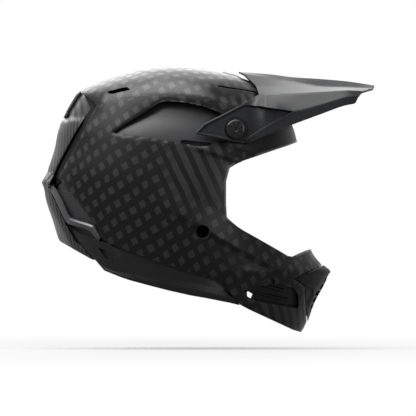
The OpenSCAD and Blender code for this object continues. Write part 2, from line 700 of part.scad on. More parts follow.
module port_grommet(side) {
    y = side_y(port_x, port_z);
    r = port_d / 2;
    color("#3a3a3e")
        mirror([0, side > 0 ? 0 : 1, 0])
            difference() {
                union() {
                    bar(port_x, port_z, r + rim_w, y - 2.1 * shell_t, y + gap);
                    bar(port_x, port_z, r + 1.6 * rim_w, y - 2.1 * shell_t, y - 1.85 * shell_t);
                }
                bar(port_x, port_z, r, y - shell_w / 4, y + over);
            }
}
module port_grommet_left() { port_grommet(1); }
module port_grommet_right() { port_grommet(-1); }

function visor_point(u, v) =
    let (s = smooth(visor_shares, u), k = abs(v), n = len(s) - 1)
    let (p = k >= n ? s[n] : s[floor(k)] + (k - floor(k)) * (s[floor(k) + 1] - s[floor(k)]))
    [sx(p[0]), sign(v) * visor_w / 2 * p[2], sz(p[1])];

module visor() {
    last = len(visor_shares) - 1;
    grid = [for (i = [0:2 * last]) [for (v = visor_steps) visor_point(i / 2, v)]];
    color("#5c5e63")
        difference() {
            union() {
                patch(grid, sink(grid, visor_t));
                both() {
                    intersection() {
                        difference() {
                            shell_form(visor_rise + visor_t);
                            shell_form(visor_rise);
                        }
                        band(arm_shares);
                        translate([-shell_l, shell_w / 4, -shell_h])
                            cube([2 * shell_l, shell_w, 2 * shell_h]);
                    }
                    bar(pivot_x, pivot_z, boss_r, hub_y, hub_y + hub_t, cut_facets);
                }
            }
            both() bar(pivot_x, pivot_z, bush_r + gap / 2, 0, shell_w, cut_facets);
            both() bar(pivot_x, pivot_z, boss_r + 2 * gap, 0, hub_y, cut_facets);
            both() bar(pivot_x, pivot_z, boss_r - gap, hub_y + hub_t, shell_w, cut_facets);
        }
}

module visor_bushing(side) {
    color("#7c7f84")
        mirror([0, side > 0 ? 0 : 1, 0])
            difference() {
                union() {
                    bar(pivot_x, pivot_z, bush_r, hub_y, hub_y + hub_t);
                    bar(pivot_x, pivot_z, bush_r + 2 * rim_w, hub_y + hub_t, hub_y + hub_t + flange_t);
                }
                bar(pivot_x, pivot_z, bore_r, 0, shell_w);
            }
}
module visor_bushing_left() { visor_bushing(1); }
module visor_bushing_right() { visor_bushing(-1); }

module visor_washers() {
    color("#202022")
        both()
            difference() {
                bar(pivot_x, pivot_z, boss_r - 2 * rim_w, boss_y, boss_y + washer_t);
                bar(pivot_x, pivot_z, bore_r + gap, 0, shell_w);
            }
}

module thread_inserts() {
    color("#8f7a45")
        both()
            difference() {
                union() {
                    bar(pivot_x, pivot_z, insert_r, boss_y - boss_depth, boss_y);
                    bar(pivot_x, pivot_z, insert_r + rim_w, boss_y - boss_depth - washer_t, boss_y - boss_depth);
                }
                bar(pivot_x, pivot_z, bore_r, 0, shell_w);
            }
}

module visor_screw(side) {
    color("#0c0c0e")
        mirror([0, side > 0 ? 0 : 1, 0])
            difference() {
                union() {
                    bar(pivot_x, pivot_z, shank_r, boss_y - boss_depth, head_y + head_t / 2);
                    bar(pivot_x, pivot_z, screw_d / 2, head_y, head_y + head_t / 2);
                    translate([pivot_x, head_y + head_t / 2, pivot_z])
                        rotate([-90, 0, 0])
                            cylinder(h = head_t / 2, r1 = screw_d / 2, r2 = 0.36 * screw_d, $fn = round_facets);
                }
                translate([pivot_x, head_y + head_t / 2, pivot_z])
                    rotate([-90, 0, 0])
                        cylinder(h = over, r = 0.12 * screw_d, $fn = 6);
            }
}
module visor_screw_left() { visor_screw(1); }
module visor_screw_right() { visor_screw(-1); }

// The spherical socket and the cap that slips in it
module cap(r, low) {
    intersection() {
        translate([0, 0, socket_z]) sphere(r = r, $fn = 36);
        translate([-shell_l, -shell_l, low]) cube([2 * shell_l, 2 * shell_l, shell_h]);
    }
}
// Anchor pins, at four bearings around the crown, swung and lengthened by their room
module anchors(r, swing, depth, room = 0) {
    for (a = anchor_bearings)
        hull()
            for (s = [-1, 0, 1])
                rotate([0, 0, a + s * swing])
                    translate([anchor_reach - depth, 0, anchor_z])
                        rotate([0, 90, 0]) cylinder(h = depth + pin_out + room, r = r + room, $fn = 12);
}
anchor_z = slip_z + 1.2 * anchor_d;
anchor_reach = sqrt(pow(slip_r, 2) - pow(anchor_z - socket_z, 2));
pin_out = anchor_d;

module outer_foam() {
    color("#26262a")
        difference() {
            intersection() {
                shell_form(-foam_off);
                prism(plan(foam_shares));
            }
            cavity();
            cap(socket_r, slip_z - gap);
            intersection() {
                wall(0, panel_sink + trim_t);
                band(recess_shares, seat_w + gap);
            }
            anchors(anchor_d / 2, slip_yaw, anchor_d, 3 * gap);
            both() bar(pivot_x, pivot_z, boss_r + gap, boss_y - boss_depth - 2 * washer_t, shell_w, cut_facets);
            both() bar(port_x, port_z, port_d / 2 + 2 * rim_w, 0, shell_w, cut_facets);
            both() bar(bolt_x, bolt_z, bolt_r + gap, 0, shell_w, cut_facets);
            both()
                translate([bolt_x - strap_room / 2, 0, strap_foot])
                    cube([1.2 * strap_room, strap_y + strap_t, bolt_z + strap_w / 2 - strap_foot]);
        }
}

module slip_liner() {
    color("#3a3f38")
        difference() {
            cap(slip_r, slip_z);
            cavity();
            anchors(anchor_d / 2, 0, anchor_d);
            for (k = groove_shares)
                hull()
                    for (x = [-0.7, 0.7])
                        translate([x * head_l / 2, k * head_w / 2, head_h * (1.02 - 0.5 * k * k)])
                            scale([1, 1, 0.8]) sphere(r = groove_r, $fn = rod_facets);
        }
}

module slip_anchors() {
    color("#c8b23a") anchors(anchor_d / 2, 0, anchor_d);
}

module crown_pad() {
    span = 40;
    n = 10;
    function lay(t) = [for (i = [0:n]) [for (j = [0:n])
        let (a = span * (1 - 2 * i / n), b = span * (2 * j / n - 1))
        let (e = 1 - pow(max(abs(a), abs(b)) / span, 8))
        dome([tan(a) * (1 - 0.16 * pow(b / span, 2)), tan(b) * (1 - 0.16 * pow(a / span, 2)), 1], t <= tape_t ? t : tape_t + (t - tape_t) * (0.35 + 0.65 * e))]];
    color("#1d1d20") patch(lay(tape_t), lay(tape_t + pad_t));
}

module brow_pad() {
    n = 22;
    m = 5;
    function lay(t) = [for (i = [0:n]) [for (j = [0:m])
        let (a = 52 * (2 * i / n - 1), z = brow_low + (brow_high - brow_low) * j / m)
        let (s = sqrt(1 - pow(z / head_h, 2)), e = 1 - pow(max(abs(2 * i / n - 1), abs(2 * j / m - 1)), 6))
        let (k = t <= tape_t ? t : tape_t + (t - tape_t) * (0.4 + 0.6 * e))
        [(head_l / 2 - k) * s * cos(a), (head_w / 2 - k) * s * sin(a), z]]];
    color("#1d1d20") patch(lay(tape_t + 4 * gap + pad_t), lay(tape_t + 4 * gap));
}

module neck_roll() {
    n = 24;
    m = 5;
    function lay(t) = [for (i = [0:n]) [for (j = [0:m])
        let (a = 180 + 62 * (2 * i / n - 1), z = neck_low + (neck_high - neck_low) * j / m)
        let (e = 1 - pow(max(abs(2 * i / n - 1), abs(2 * j / m - 1)), 6))
        let (k = t <= tape_t ? t : tape_t + (t - tape_t) * (0.4 + 0.6 * e))
        [(head_l / 2 - k) * cos(a), (head_w / 2 - k) * sin(a), z]]];
    color("#1d1d20") patch(lay(tape_t + 1.3 * pad_t), lay(tape_t));
}

function cheek_grid(t, n, m, inset) = [for (i = [0:n]) [for (j = [0:m])
    let (u = inset + (1 - 2 * inset) * i / n, v = inset + (1 - 2 * inset) * j / m)
    let (r = smooth(cheek_shares, u * (len(cheek_shares) - 1)))
    let (x = sx(r[0]), z = sz(r[1] + (r[2] - r[1]) * v))
    let (e = 1 - pow(max(abs(2 * u - 1), abs(2 * v - 1)), 6), base = 2 * plate_in)
    [x, cavity_y(x) - (t < base ? t : base + (t - base) * (0.45 + 0.55 * e)), z]]];

module cheek_pad(side) {
    color("#1f1f22")
        mirror([0, side > 0 ? 0 : 1, 0])
            patch(cheek_grid(plate_in + 2 * gap, 10, 10, 0), cheek_grid(cheek_t, 10, 10, 0));
}
module cheek_pad_left() { cheek_pad(1); }
module cheek_pad_right() { cheek_pad(-1); }

module cheek_plate(side) {
    color("#303034")
        mirror([0, side > 0 ? 0 : 1, 0])
            patch(cheek_grid(tape_t + 2 * gap, 10, 5, 0.06), cheek_grid(plate_in, 10, 5, 0.06));
}
module cheek_plate_left() { cheek_plate(1); }
module cheek_plate_right() { cheek_plate(-1); }

module chin_foam() {
    color("#26262a")
        difference() {
            intersection() {
                wall(-foam_off, foam_off + chin_t);
                prism(plan(chin_foam_shares));
            }
            band(insert_shares, seat_w);
            hull()
                for (s = [-1, 1], t = [-1, 1])
                    translate([mouth_x - over, s * mouth_w, mouth_z + t * mouth_h / 2])
                        rotate([0, 90, 0]) cylinder(h = 3 * over, r = slat_r, $fn = rod_facets);
            band(upper_vent_shares, gap);
            band(lower_vent_shares, gap);
            cavity();
        }
}

// Flat band along a list of rows: place and the direction of its width
function ribbon(rows, w, t) = [for (i = [0:len(rows) - 1])
    let (a = rows[clamp(i + 1, len(rows) - 1)][0] - rows[clamp(i - 1, len(rows) - 1)][0])
    let (b = rows[i][1] / norm(rows[i][1]), n = cross(a, b) / norm(cross(a, b)))
    [for (s = [-1, 0, 1]) rows[i][0] + s * w / 2 * b + t * n]];
function strap_path(list) = [for (p = list) [[p[0] * shell_l, p[1] * half_w, p[2] * shell_h], [1, 0, p[3]]]];

module strap_short() {
    rows = strap_path(strap_short_shares);
    color("#141416")
        difference() {
            patch(ribbon(rows, strap_w, -strap_t / 2), ribbon(rows, strap_w, strap_t / 2));
            bar(bolt_x, bolt_z, bolt_r + gap, 0, shell_w, cut_facets);
        }
}
module strap_long() {
    rows = strap_path(strap_long_shares);
    color("#141416")
        difference() {
            patch(ribbon(rows, strap_w, -strap_t / 2), ribbon(rows, strap_w, strap_t / 2));
            bar(bolt_x, bolt_z, bolt_r + gap, -shell_w, 0, cut_facets);
        }
}

// Ring with a straight bar, lying in a tilted plane
module d_ring(place) {
    r = strap_w / 2 + ring_r;
    bow = [for (a = [-90:30:90]) [r * sin(a), 0.8 * r * cos(a)]];
    line = [for (p = concat(bow, [bow[0]])) place + [p[0], -p[1] * 0.97, p[1] * 0.24]];
    rod(line, ring_r);
}
module d_rings() {
    color("#b4b6ba") {
        d_ring([0.103 * shell_l, 0.39 * half_w, -0.3554 * shell_h]);
        d_ring([0.103 * shell_l, 0.39 * half_w, -0.3554 * shell_h + 1.95 * ring_r]);
    }
}

module strap_anchors() {
    color("#9a9ca0")
        both()
            difference() {
                union() {
                    bar(bolt_x, bolt_z, bolt_r, strap_y - 1.1 * strap_t, bolt_y);
                    bar(bolt_x, bolt_z, 2 * bolt_r, strap_y - 1.1 * strap_t, strap_y - 0.6 * strap_t);
                }
                bar(bolt_x, bolt_z, bolt_r / 2, 0, strap_y);
            }
}

outer_shell();
tail_panel();
exhaust_strip();
slot_bed();
vent_frame_left();
vent_frame_right();
intake_panel_left();
intake_panel_right();
skirt_left();
skirt_right();
mouth_guard();
mouth_filter();
gill_left();
gill_right();
eye_trim();
top_grille();
port_grommet_left();
port_grommet_right();
visor();
visor_bushing_left();
visor_bushing_right();
visor_washers();
thread_inserts();
visor_screw_left();
visor_screw_right();
outer_foam();
chin_foam();
slip_liner();
slip_anchors();
crown_pad();
brow_pad();
neck_roll();
cheek_pad_left();
cheek_pad_right();
cheek_plate_left();
cheek_plate_right();
strap_long();
strap_short();
d_rings();
strap_anchors();
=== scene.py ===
import math
import bpy
import numpy as np
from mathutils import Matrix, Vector


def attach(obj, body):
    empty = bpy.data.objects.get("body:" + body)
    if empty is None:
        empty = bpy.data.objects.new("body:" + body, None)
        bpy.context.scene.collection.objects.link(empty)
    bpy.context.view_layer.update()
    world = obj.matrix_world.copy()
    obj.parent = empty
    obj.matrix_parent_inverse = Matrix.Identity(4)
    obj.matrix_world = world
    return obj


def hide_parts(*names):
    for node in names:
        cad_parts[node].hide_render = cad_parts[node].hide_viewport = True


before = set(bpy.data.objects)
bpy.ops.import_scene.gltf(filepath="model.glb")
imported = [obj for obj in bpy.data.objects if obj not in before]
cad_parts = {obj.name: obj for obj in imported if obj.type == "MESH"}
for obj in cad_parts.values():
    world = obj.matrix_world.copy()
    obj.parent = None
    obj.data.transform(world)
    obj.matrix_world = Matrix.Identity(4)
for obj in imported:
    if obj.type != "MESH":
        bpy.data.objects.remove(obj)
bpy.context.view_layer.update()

# units
sheet = {"unit": 1.12, "headX": 170.0, "headY": 195.0}      # side view drawn in units of 1.12 mm, y down


def mmX(u):
    # sheet units to mm forward of the head's centre
    return (u - sheet["headX"]) * sheet["unit"]


def mmZ(v):
    # sheet units to mm above the head's centre
    return (sheet["headY"] - v) * sheet["unit"]


def sheetX(x):
    # mm back to sheet units
    return x / sheet["unit"] + sheet["headX"]


def sideMm(points):
    # x = (u - headX) * unit, z = (headY - v) * unit, in millimetres
    p = np.asarray(points, float)
    return np.stack([mmX(p[..., 0]), mmZ(p[..., 1])], -1)


def smoothStep(e0, e1, v):
    # 3t^2 - 2t^3 with t = clamp((v - e0) / (e1 - e0))
    t = np.clip((v - e0) / (e1 - e0), 0, 1)
    return t * t * (3 - 2 * t)


def alongLine(line, step):
    # points every step along a polyline, its corners kept
    p = np.asarray(line, float)
    out = []
    for a, b in zip(p[:-1], p[1:]):
        n = max(1, int(np.ceil(np.linalg.norm(b - a) / step)))
        out.append(a + (b - a) * np.linspace(0, 1, n, endpoint=False)[:, None])
    return np.concatenate(out + [p[-1:]])


def roundLine(line, step, passes=2, closed=False):
    # each pass cuts the corners at a quarter and three quarters of each side; then points every step
    p = np.asarray(line, float)
    for _ in range(passes):
        q = np.roll(p, -1, 0) if closed else p[1:]
        a = p if closed else p[:-1]
        cut = np.stack([0.75 * a + 0.25 * q, 0.25 * a + 0.75 * q], 1).reshape(-1, p.shape[1])
        p = cut if closed else np.concatenate([p[:1], cut, p[-1:]])
    return alongLine(np.concatenate([p, p[:1]]) if closed else p, step)


def segmentDistances(x, z, line):
    # for every point p and side a-b: |p - a - t (b - a)|, t = clamp((p - a) . (b - a) / |b - a|^2)
    p = np.stack([np.ravel(x), np.ravel(z)], -1)
    ab = line[1:] - line[:-1]
    ap = p[:, None, :] - line[None, :-1]
    t = np.clip((ap * ab).sum(-1) / np.maximum((ab * ab).sum(-1), 1e-12), 0, 1)
    return ab, ap, np.linalg.norm(ap - t[..., None] * ab, axis=-1)


def lineDistance(x, z, line):
    # distance to a polyline, signed by the side: above is plus for a line drawn left to right
    ab, ap, d = segmentDistances(x, z, line)
    k = d.argmin(1)
    i = np.arange(len(d))
    side = ab[k, 0] * ap[i, k, 1] - ab[k, 1] * ap[i, k, 0]
    return (np.where(side >= 0, 1.0, -1.0) * d[i, k]).reshape(np.shape(x))


def insideDistance(x, z, outline):
    # distance to a closed outline, plus inside it, by the crossing rule
    loop = np.concatenate([outline, outline[:1]])
    ab, ap, d = segmentDistances(x, z, loop)
    px, pz = np.ravel(x)[:, None], np.ravel(z)[:, None]
    cross = (loop[:-1, 1] > pz) != (loop[1:, 1] > pz)
    where = loop[:-1, 0] + ap[..., 1] * ab[:, 0] / np.where(ab[:, 1] == 0, 1e-12, ab[:, 1])
    inside = (cross & (px < where)).sum(1) % 2 == 1
    return np.where(inside, d.min(1), -d.min(1)).reshape(np.shape(x))


def cubicRows(rows, u):
    # cubic through four neighbouring rows of any shape
    n = len(rows) - 1
    i = np.clip(np.floor(u).astype(int), 0, n - 1)
    t = (u - i).reshape(u.shape + (1,) * (rows.ndim - 1))
    a, b, c, d = rows[np.clip(i - 1, 0, n)], rows[i], rows[i + 1], rows[np.clip(i + 2, 0, n)]
    return b + t / 2 * (c - a + t * (2 * a - 5 * b + 4 * c - d + t * (3 * (b - c) + d - a)))


def unitRows(v):
    # vectors over their lengths
    return v / np.maximum(np.linalg.norm(v, axis=-1, keepdims=True), 1e-9)


# shell form
# height, centre, front and rear in sheet units, half width in mm, front and rear squareness
shellForm = {
    "rows": np.array([
        [67.3, 178, 178, 178, 0, 2.1, 2.1], [68, 175, 190, 158, 24, 2.1, 2.1],
        [70, 174, 206, 141.5, 41, 2.1, 2.1], [73, 174, 223, 129, 54, 2.1, 2.1],
        [78, 173, 241.5, 111, 67, 2.1, 2.15], [84, 173, 256, 95, 78, 2.1, 2.2],
        [92, 174, 268.5, 79, 88, 2.15, 2.2], [102, 175, 279, 71.5, 96.5, 2.2, 2.2],
        [115, 176, 287, 64.5, 103.5, 2.2, 2.2], [130, 177, 294, 58.5, 109.5, 2.2, 2.2],
        [150, 178, 298.3, 54.3, 114.5, 2.2, 2.2], [175, 180, 300.5, 47, 119, 2.15, 2.15],
        [200, 182, 302, 47.5, 121, 2.05, 2.1], [225, 184, 305, 54.2, 120.5, 1.95, 2.1],
        [250, 186, 311, 62, 117, 1.85, 2.1], [265, 187, 322, 68, 113.5, 1.8, 2.1],
        [271.5, 187, 329, 72, 111.5, 1.8, 2.1], [278, 187, 327, 75, 109, 1.8, 2.1],
        [285, 188, 324, 78, 106.5, 1.8, 2.1], [303, 188, 314.4, 84, 102.5, 1.8, 2.1],
        [322, 188, 307.5, 88, 98, 1.8, 2.1], [334, 188, 301, 90, 94, 1.8, 2.1]]),
    "wall": 3.2, "behind": -3.3, "seat": -4.7, "foot": 40.0}
# offsets of the wall's inside and of the trim's back
behind, seat = shellForm["behind"], shellForm["seat"]
lastRow = len(shellForm["rows"]) - 1


def formRow(u):
    # the form's measures at row u, between its rows too
    return cubicRows(shellForm["rows"], u)


def formPoint(a, u):
    # x = centre + reach |cos a|^(2/n), y = halfWidth |sin a|^(2/n), z = height of the row
    r = formRow(u)
    c, s = np.cos(a), np.sin(a)
    front = c >= 0
    reach = np.where(front, r[..., 2] - r[..., 1], r[..., 1] - r[..., 3])
    e = 2 / np.where(front, r[..., 5], r[..., 6])
    x = r[..., 1] + reach * np.sign(c) * np.abs(c) ** e
    return np.stack([mmX(x), r[..., 4] * np.sign(s) * np.abs(s) ** e, mmZ(r[..., 0])], -1)


def formNormal(a, u):
    # cross product of the two partial derivatives, by differences
    da = formPoint(a + 0.02, u) - formPoint(a - 0.02, u)
    du = formPoint(a, np.minimum(u + 0.04, lastRow)) - formPoint(a, np.maximum(u - 0.04, 0.0))
    return np.where((u < 0.02)[..., None], [0, 0, 1.0], unitRows(np.cross(du, da)))


def formRowAt(z):
    # the row of a height, by halving
    lo, hi = np.zeros_like(z), np.full_like(z, lastRow)
    for _ in range(26):
        mid = (lo + hi) / 2
        over = mmZ(formRow(mid)[..., 0]) > z
        lo, hi = np.where(over, mid, lo), np.where(over, hi, mid)
    return (lo + hi) / 2


def formSide(x, z):
    # half width of the form at a place in side view
    r = formRow(formRowAt(np.asarray(z, float)))
    d = sheetX(np.asarray(x, float)) - r[..., 1]
    reach = np.where(d >= 0, r[..., 2] - r[..., 1], r[..., 1] - r[..., 3])
    e = np.where(d >= 0, r[..., 5], r[..., 6])
    return r[..., 4] * np.maximum(1e-4, 1 - np.minimum(1, np.abs(d) / reach) ** e) ** (1 / e)


def rowsByLength(u0, u1, n, bearing=0.9):
    # rows spaced evenly by the length of the form's line at one bearing
    u = np.linspace(u0, u1, 900)
    p = formPoint(np.full_like(u, bearing), u)
    s = np.concatenate([[0], np.cumsum(np.linalg.norm(np.diff(p, axis=0), axis=1))])
    return np.interp(np.linspace(0, s[-1], n), s, u)


# mesh helpers
def fillMesh(name, points, loops, sizes):
    # mesh from flat arrays: points in metres, corner numbers, corners of each face
    me = bpy.data.meshes.new(name)
    me.vertices.add(len(points))
    me.vertices.foreach_set("co", points.astype(np.float32).ravel())
    me.loops.add(len(loops))
    me.loops.foreach_set("vertex_index", loops.astype(np.int32))
    me.polygons.add(len(sizes))
    starts = np.concatenate([[0], np.cumsum(sizes)[:-1]])
    me.polygons.foreach_set("loop_start", starts.astype(np.int32))
    me.polygons.foreach_set("loop_total", sizes.astype(np.int32))
    me.update(calc_edges=True)
    return me


def newMesh(name, verts, faces):
    # verts in mm; faces is a list of index arrays with 3 or 4 columns, turned over if the volume is negative
    v = np.asarray(verts, np.float64) / 1000
    sizes = np.concatenate([np.full(len(f), f.shape[1]) for f in faces])
    tri = np.concatenate([f[:, [0, i, i + 1]] for f in faces for i in range(1, f.shape[1] - 1)])
    if np.einsum("ij,ij->i", v[tri[:, 0]], np.cross(v[tri[:, 1]], v[tri[:, 2]])).sum() < 0:
        faces = [f[:, ::-1] for f in faces]
    me = fillMesh(name, v, np.concatenate([f.ravel() for f in faces]), sizes)
    me.validate()
    return me


def gridFaces(n, m, start=0, wrapRows=False, wrapCols=False):
    # quads of an n by m grid of vertex numbers
    i = np.arange(n if wrapRows else n - 1)
    j = np.arange(m if wrapCols else m - 1)
    i, j = np.meshgrid(i, j, indexing="ij")
    i, j = i.ravel(), j.ravel()
    i2, j2 = (i + 1) % n, (j + 1) % m
    return start + np.stack([i * m + j, i2 * m + j, i2 * m + j2, i * m + j2], -1)


def cappedMesh(name, grid, first, last):
    # closed solid of rings, its first and last ring fanned to a point each
    n, m = grid.shape[:2]
    j = np.arange(m)
    k = (j + 1) % m
    near = np.stack([np.full(m, n * m), k, j], -1)
    far = np.stack([np.full(m, n * m + 1), (n - 1) * m + j, (n - 1) * m + k], -1)
    verts = np.concatenate([grid.reshape(-1, 3), [first], [last]])
    return newMesh(name, verts, [gridFaces(n, m, 0, False, True)[:, ::-1], near, far])


def ringEdge(n, m):
    # vertex numbers round the border of an n by m grid
    g = np.arange(n * m).reshape(n, m)
    return np.concatenate([g[0, :-1], g[:-1, -1], g[-1, :0:-1], g[:0:-1, 0]])


def slabMesh(name, outer, inner, rim=0.0, steps=4):
    # closed slab between two grids, its border rounded outward by rim
    n, m = outer.shape[:2]
    k = n * m
    edge = ringEdge(n, m)
    po, pi = outer.reshape(-1, 3)[edge], inner.reshape(-1, 3)[edge]
    faces = [gridFaces(n, m), gridFaces(n, m, k)[:, ::-1]]
    verts = [outer.reshape(-1, 3), inner.reshape(-1, 3)]
    along = np.roll(po, -1, 0) - np.roll(po, 1, 0)
    out = unitRows(np.cross(along, po - pi))
    mid = (po + pi) / 2
    if ((mid + out - mid.mean(0)) ** 2).sum() < ((mid - out - mid.mean(0)) ** 2).sum():
        out = -out
    e = len(edge)
    idx = [edge]
    for s in range(1, steps):
        t = math.pi * s / steps
        verts.append(mid + (po - pi) / 2 * math.cos(t) + out * rim * math.sin(t))
        idx.append(2 * k + (s - 1) * e + np.arange(e))
    idx.append(edge + k)
    for a, b in zip(idx[:-1], idx[1:]):
        faces.append(np.stack([a, np.roll(a, -1), np.roll(b, -1), b], -1))
    return newMesh(name, np.concatenate(verts), faces)


def offsetOf(off, p):
    # an offset for each point: off is a number or a function of (x, z, y)
    return np.broadcast_to(off(p[..., 0], p[..., 2], p[..., 1]) if callable(off) else off, p.shape[:2])


def loftMesh(name, off, nA, nU):
    # the whole form as one closed solid, carried straight down below its last row
    u = rowsByLength(0, lastRow, nU + 1)[1:]
    a = np.linspace(0, 2 * np.pi, nA, endpoint=False)
    uu, aa = np.meshgrid(u, a, indexing="ij")
    p = formPoint(aa, uu)
    d = offsetOf(off, p)
    g = p + formNormal(aa, uu) * d[..., None]
    foot = g[-1:] - [0, 0, shellForm["foot"]]
    top = formPoint(np.zeros(1), np.zeros(1))[0] + [0, 0, d[0].mean()]
    return cappedMesh(name, np.concatenate([g, foot]), top, [foot[..., 0].mean(), 0, foot[..., 2].mean()])


def prismMesh(name, outline, y0=-200.0, y1=200.0):
    # straight prism of a side view outline, in mm, from y0 to y1
    o = np.asarray(outline, float)
    n = len(o)
    lo = np.stack([o[:, 0], np.full(n, y0), o[:, 1]], -1)
    hi = np.stack([o[:, 0], np.full(n, y1), o[:, 1]], -1)
    me = bpy.data.meshes.new(name)
    i = np.arange(n)
    j = (i + 1) % n
    area = (o[:, 0] * np.roll(o[:, 1], -1) - np.roll(o[:, 0], -1) * o[:, 1]).sum()
    faces = [i.tolist(), (i[::-1] + n).tolist()] + np.stack([j, i, i + n, j + n], -1).tolist()
    if area < 0:
        faces = [f[::-1] for f in faces]
    me.from_pydata((np.concatenate([lo, hi]) / 1000).tolist(), [], faces)
    me.update()
    return me


def formPatch(name, spread, grid, outer, inner):
    # closed solid between two offsets of the form, over a range of bearings and of rows
    a0, a1, u0, u1 = spread
    rows = rowsByLength(u0, u1, grid[1], (a0 + a1) / 2)
    uu, aa = np.meshgrid(rows, np.linspace(a0, a1, grid[0]), indexing="ij")
    p, nrm = formPoint(aa, uu), formNormal(aa, uu)
    return slabMesh(name, *(p + nrm * offsetOf(d, p)[..., None] for d in (outer, inner)))


def rectangle(x0, z0, x1, z1):
    # outline between two corners
    return [(x0, z0), (x1, z0), (x1, z1), (x0, z1)]


def latheMesh(name, profile, at, steps=96):
    # closed profile of (radius, distance to the right of the middle) turned about a line along y through at
    pr = np.asarray(profile, float)
    n = len(pr)
    t = np.linspace(0, 2 * np.pi, steps, endpoint=False)
    x = at[0] + pr[:, None, 0] * np.cos(t)[None]
    z = at[1] + pr[:, None, 0] * np.sin(t)[None]
    y = -np.broadcast_to(pr[:, None, 1], x.shape)
    return newMesh(name, np.stack([x, y, z], -1).reshape(-1, 3), [gridFaces(n, steps, 0, True, True)])


def discAt(centre, radius):
    # circle in side view, in mm
    ring = np.linspace(0, 2 * np.pi, 72, endpoint=False)
    return centre + radius * np.stack([np.cos(ring), np.sin(ring)], -1)


def roundedProfile(points, radius, steps=2):
    # corners of a closed profile replaced by short curves: quadratic between two points near the corner
    p = np.asarray(points, float)
    out = []
    for a, b, c in zip(np.roll(p, 1, 0), p, np.roll(p, -1, 0)):
        la, lc = np.linalg.norm(a - b), np.linalg.norm(c - b)
        r = min(radius, la * 0.4, lc * 0.4)
        s, e = b + (a - b) / la * r, b + (c - b) / lc * r
        for t in np.linspace(0, 1, steps + 1):
            out.append((1 - t) ** 2 * s + 2 * t * (1 - t) * b + t * t * e)
    return np.array(out)


def tubeMesh(name, path, radius, steps=10, closed=False):
    # round tube along a path, its frame carried along by projection
    p = np.asarray(path, float)
    n = len(p)
    if closed:
        tan = np.roll(p, -1, 0) - np.roll(p, 1, 0)
    else:
        tan = np.gradient(p, axis=0)
    tan = tan / np.linalg.norm(tan, axis=1, keepdims=True)
    ref = np.array([0.0, 0, 1]) if abs(tan[0, 2]) < 0.9 else np.array([0.0, 1, 0])
    nor = np.empty_like(p)
    for i in range(n):
        ref = ref - tan[i] * ref.dot(tan[i])
        ref = ref / np.linalg.norm(ref)
        nor[i] = ref
    bi = np.cross(tan, nor)
    t = np.linspace(0, 2 * np.pi, steps, endpoint=False)
    r = np.broadcast_to(np.asarray(radius, float), (n,))
    turn = np.cos(t)[None, :, None] * nor[:, None] + np.sin(t)[None, :, None] * bi[:, None]
    ring = p[:, None] + r[:, None, None] * turn
    if closed:
        return newMesh(name, ring.reshape(-1, 3), [gridFaces(n, steps, 0, True, True)])
    return cappedMesh(name, ring, p[0], p[-1])


def meshPoints(me):
    # places of the vertices, in mm
    v = np.empty(len(me.vertices) * 3, np.float32)
    me.vertices.foreach_get("co", v)
    return v.reshape(-1, 3).astype(np.float64) * 1000


def joinMeshes(name, meshes):
    # several closed meshes in one
    points, corners, sizes, base = [], [], [], 0
    for me in meshes:
        loops, size = np.empty(len(me.loops), np.int32), np.empty(len(me.polygons), np.int32)
        me.loops.foreach_get("vertex_index", loops)
        me.polygons.foreach_get("loop_total", size)
        points.append(meshPoints(me) / 1000)
        corners.append(loops + base)
        sizes.append(size)
        base += len(me.vertices)
        bpy.data.meshes.remove(me)
    return fillMesh(name, np.concatenate(points), np.concatenate(corners), np.concatenate(sizes))


def place(name, mesh):
    # mesh into the scene as a named piece
    ob = bpy.data.objects.new(name, mesh)
    bpy.context.scene.collection.objects.link(ob)
    return ob


def cut(*meshes):
    # carve tools that take each mesh away
    return [("DIFFERENCE", me) for me in meshes]


def carve(ob, tools):
    # booleans one after another: tools is a list of (operation, mesh)
    cutters = []
    for op, me in tools:
        c = place("cutter", me)
        c.hide_render = True
        mod = ob.modifiers.new("carve", "BOOLEAN")
        mod.operation, mod.object, mod.solver = op, c, "MANIFOLD"
        cutters.append(c)
    bpy.context.view_layer.update()
    got = bpy.data.meshes.new_from_object(ob.evaluated_get(bpy.context.evaluated_depsgraph_get()))
    ob.modifiers.clear()
    old, ob.data = ob.data, got
    got.name = ob.name
    for c in cutters:
        me = c.data
        bpy.data.objects.remove(c)
        if me.users == 0:
            bpy.data.meshes.remove(me)
    bpy.data.meshes.remove(old)
    print("  carved", ob.name, len(got.polygons), "faces")
    return ob


def finishPiece(ob, node, finish, sharp=35, body="helmet"):
    # smooth shading up to the angle sharp, finish, body that carries the piece, node it stands for
    me = ob.data
    me.shade_smooth()
    me.set_sharp_from_angle(angle=math.radians(sharp))
    me.materials.clear()
    me.materials.append(finishes[finish])
    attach(ob, body)
    if node:
        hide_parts(node)


def mirrored(ob, name):
    # the same piece on the other side, y turned over
    me = ob.data.copy()
    v = meshPoints(me) / 1000
    v[:, 1] *= -1
    me.vertices.foreach_set("co", v.astype(np.float32).ravel())
    me.flip_normals()
    me.update()
    return place(name, me)


# camera: aimed along +Y at the middle of the sheet
cameraSetup = {"aimX": 208.0, "aimY": 208.0, "frame": 0.46592, "lens": 1200.0, "sensor": 36.0}
cam = bpy.data.cameras.new("camera")
cam.sensor_width, cam.lens = cameraSetup["sensor"], cameraSetup["lens"]
camObject = bpy.data.objects.new("camera", cam)
bpy.context.scene.collection.objects.link(camObject)
aim = sideMm([cameraSetup["aimX"], cameraSetup["aimY"]]) / 1000
reachBack = cameraSetup["frame"] * cameraSetup["lens"] / cameraSetup["sensor"]
camObject.location = (aim[0], -reachBack, aim[1])
camObject.rotation_euler = (math.pi / 2, 0, 0)
cam.clip_start, cam.clip_end = 0.5, 200.0
bpy.context.scene.camera = camObject

# finishes
groupStore = {}
wornTone = (0.05, 0.05, 0.052, 1)


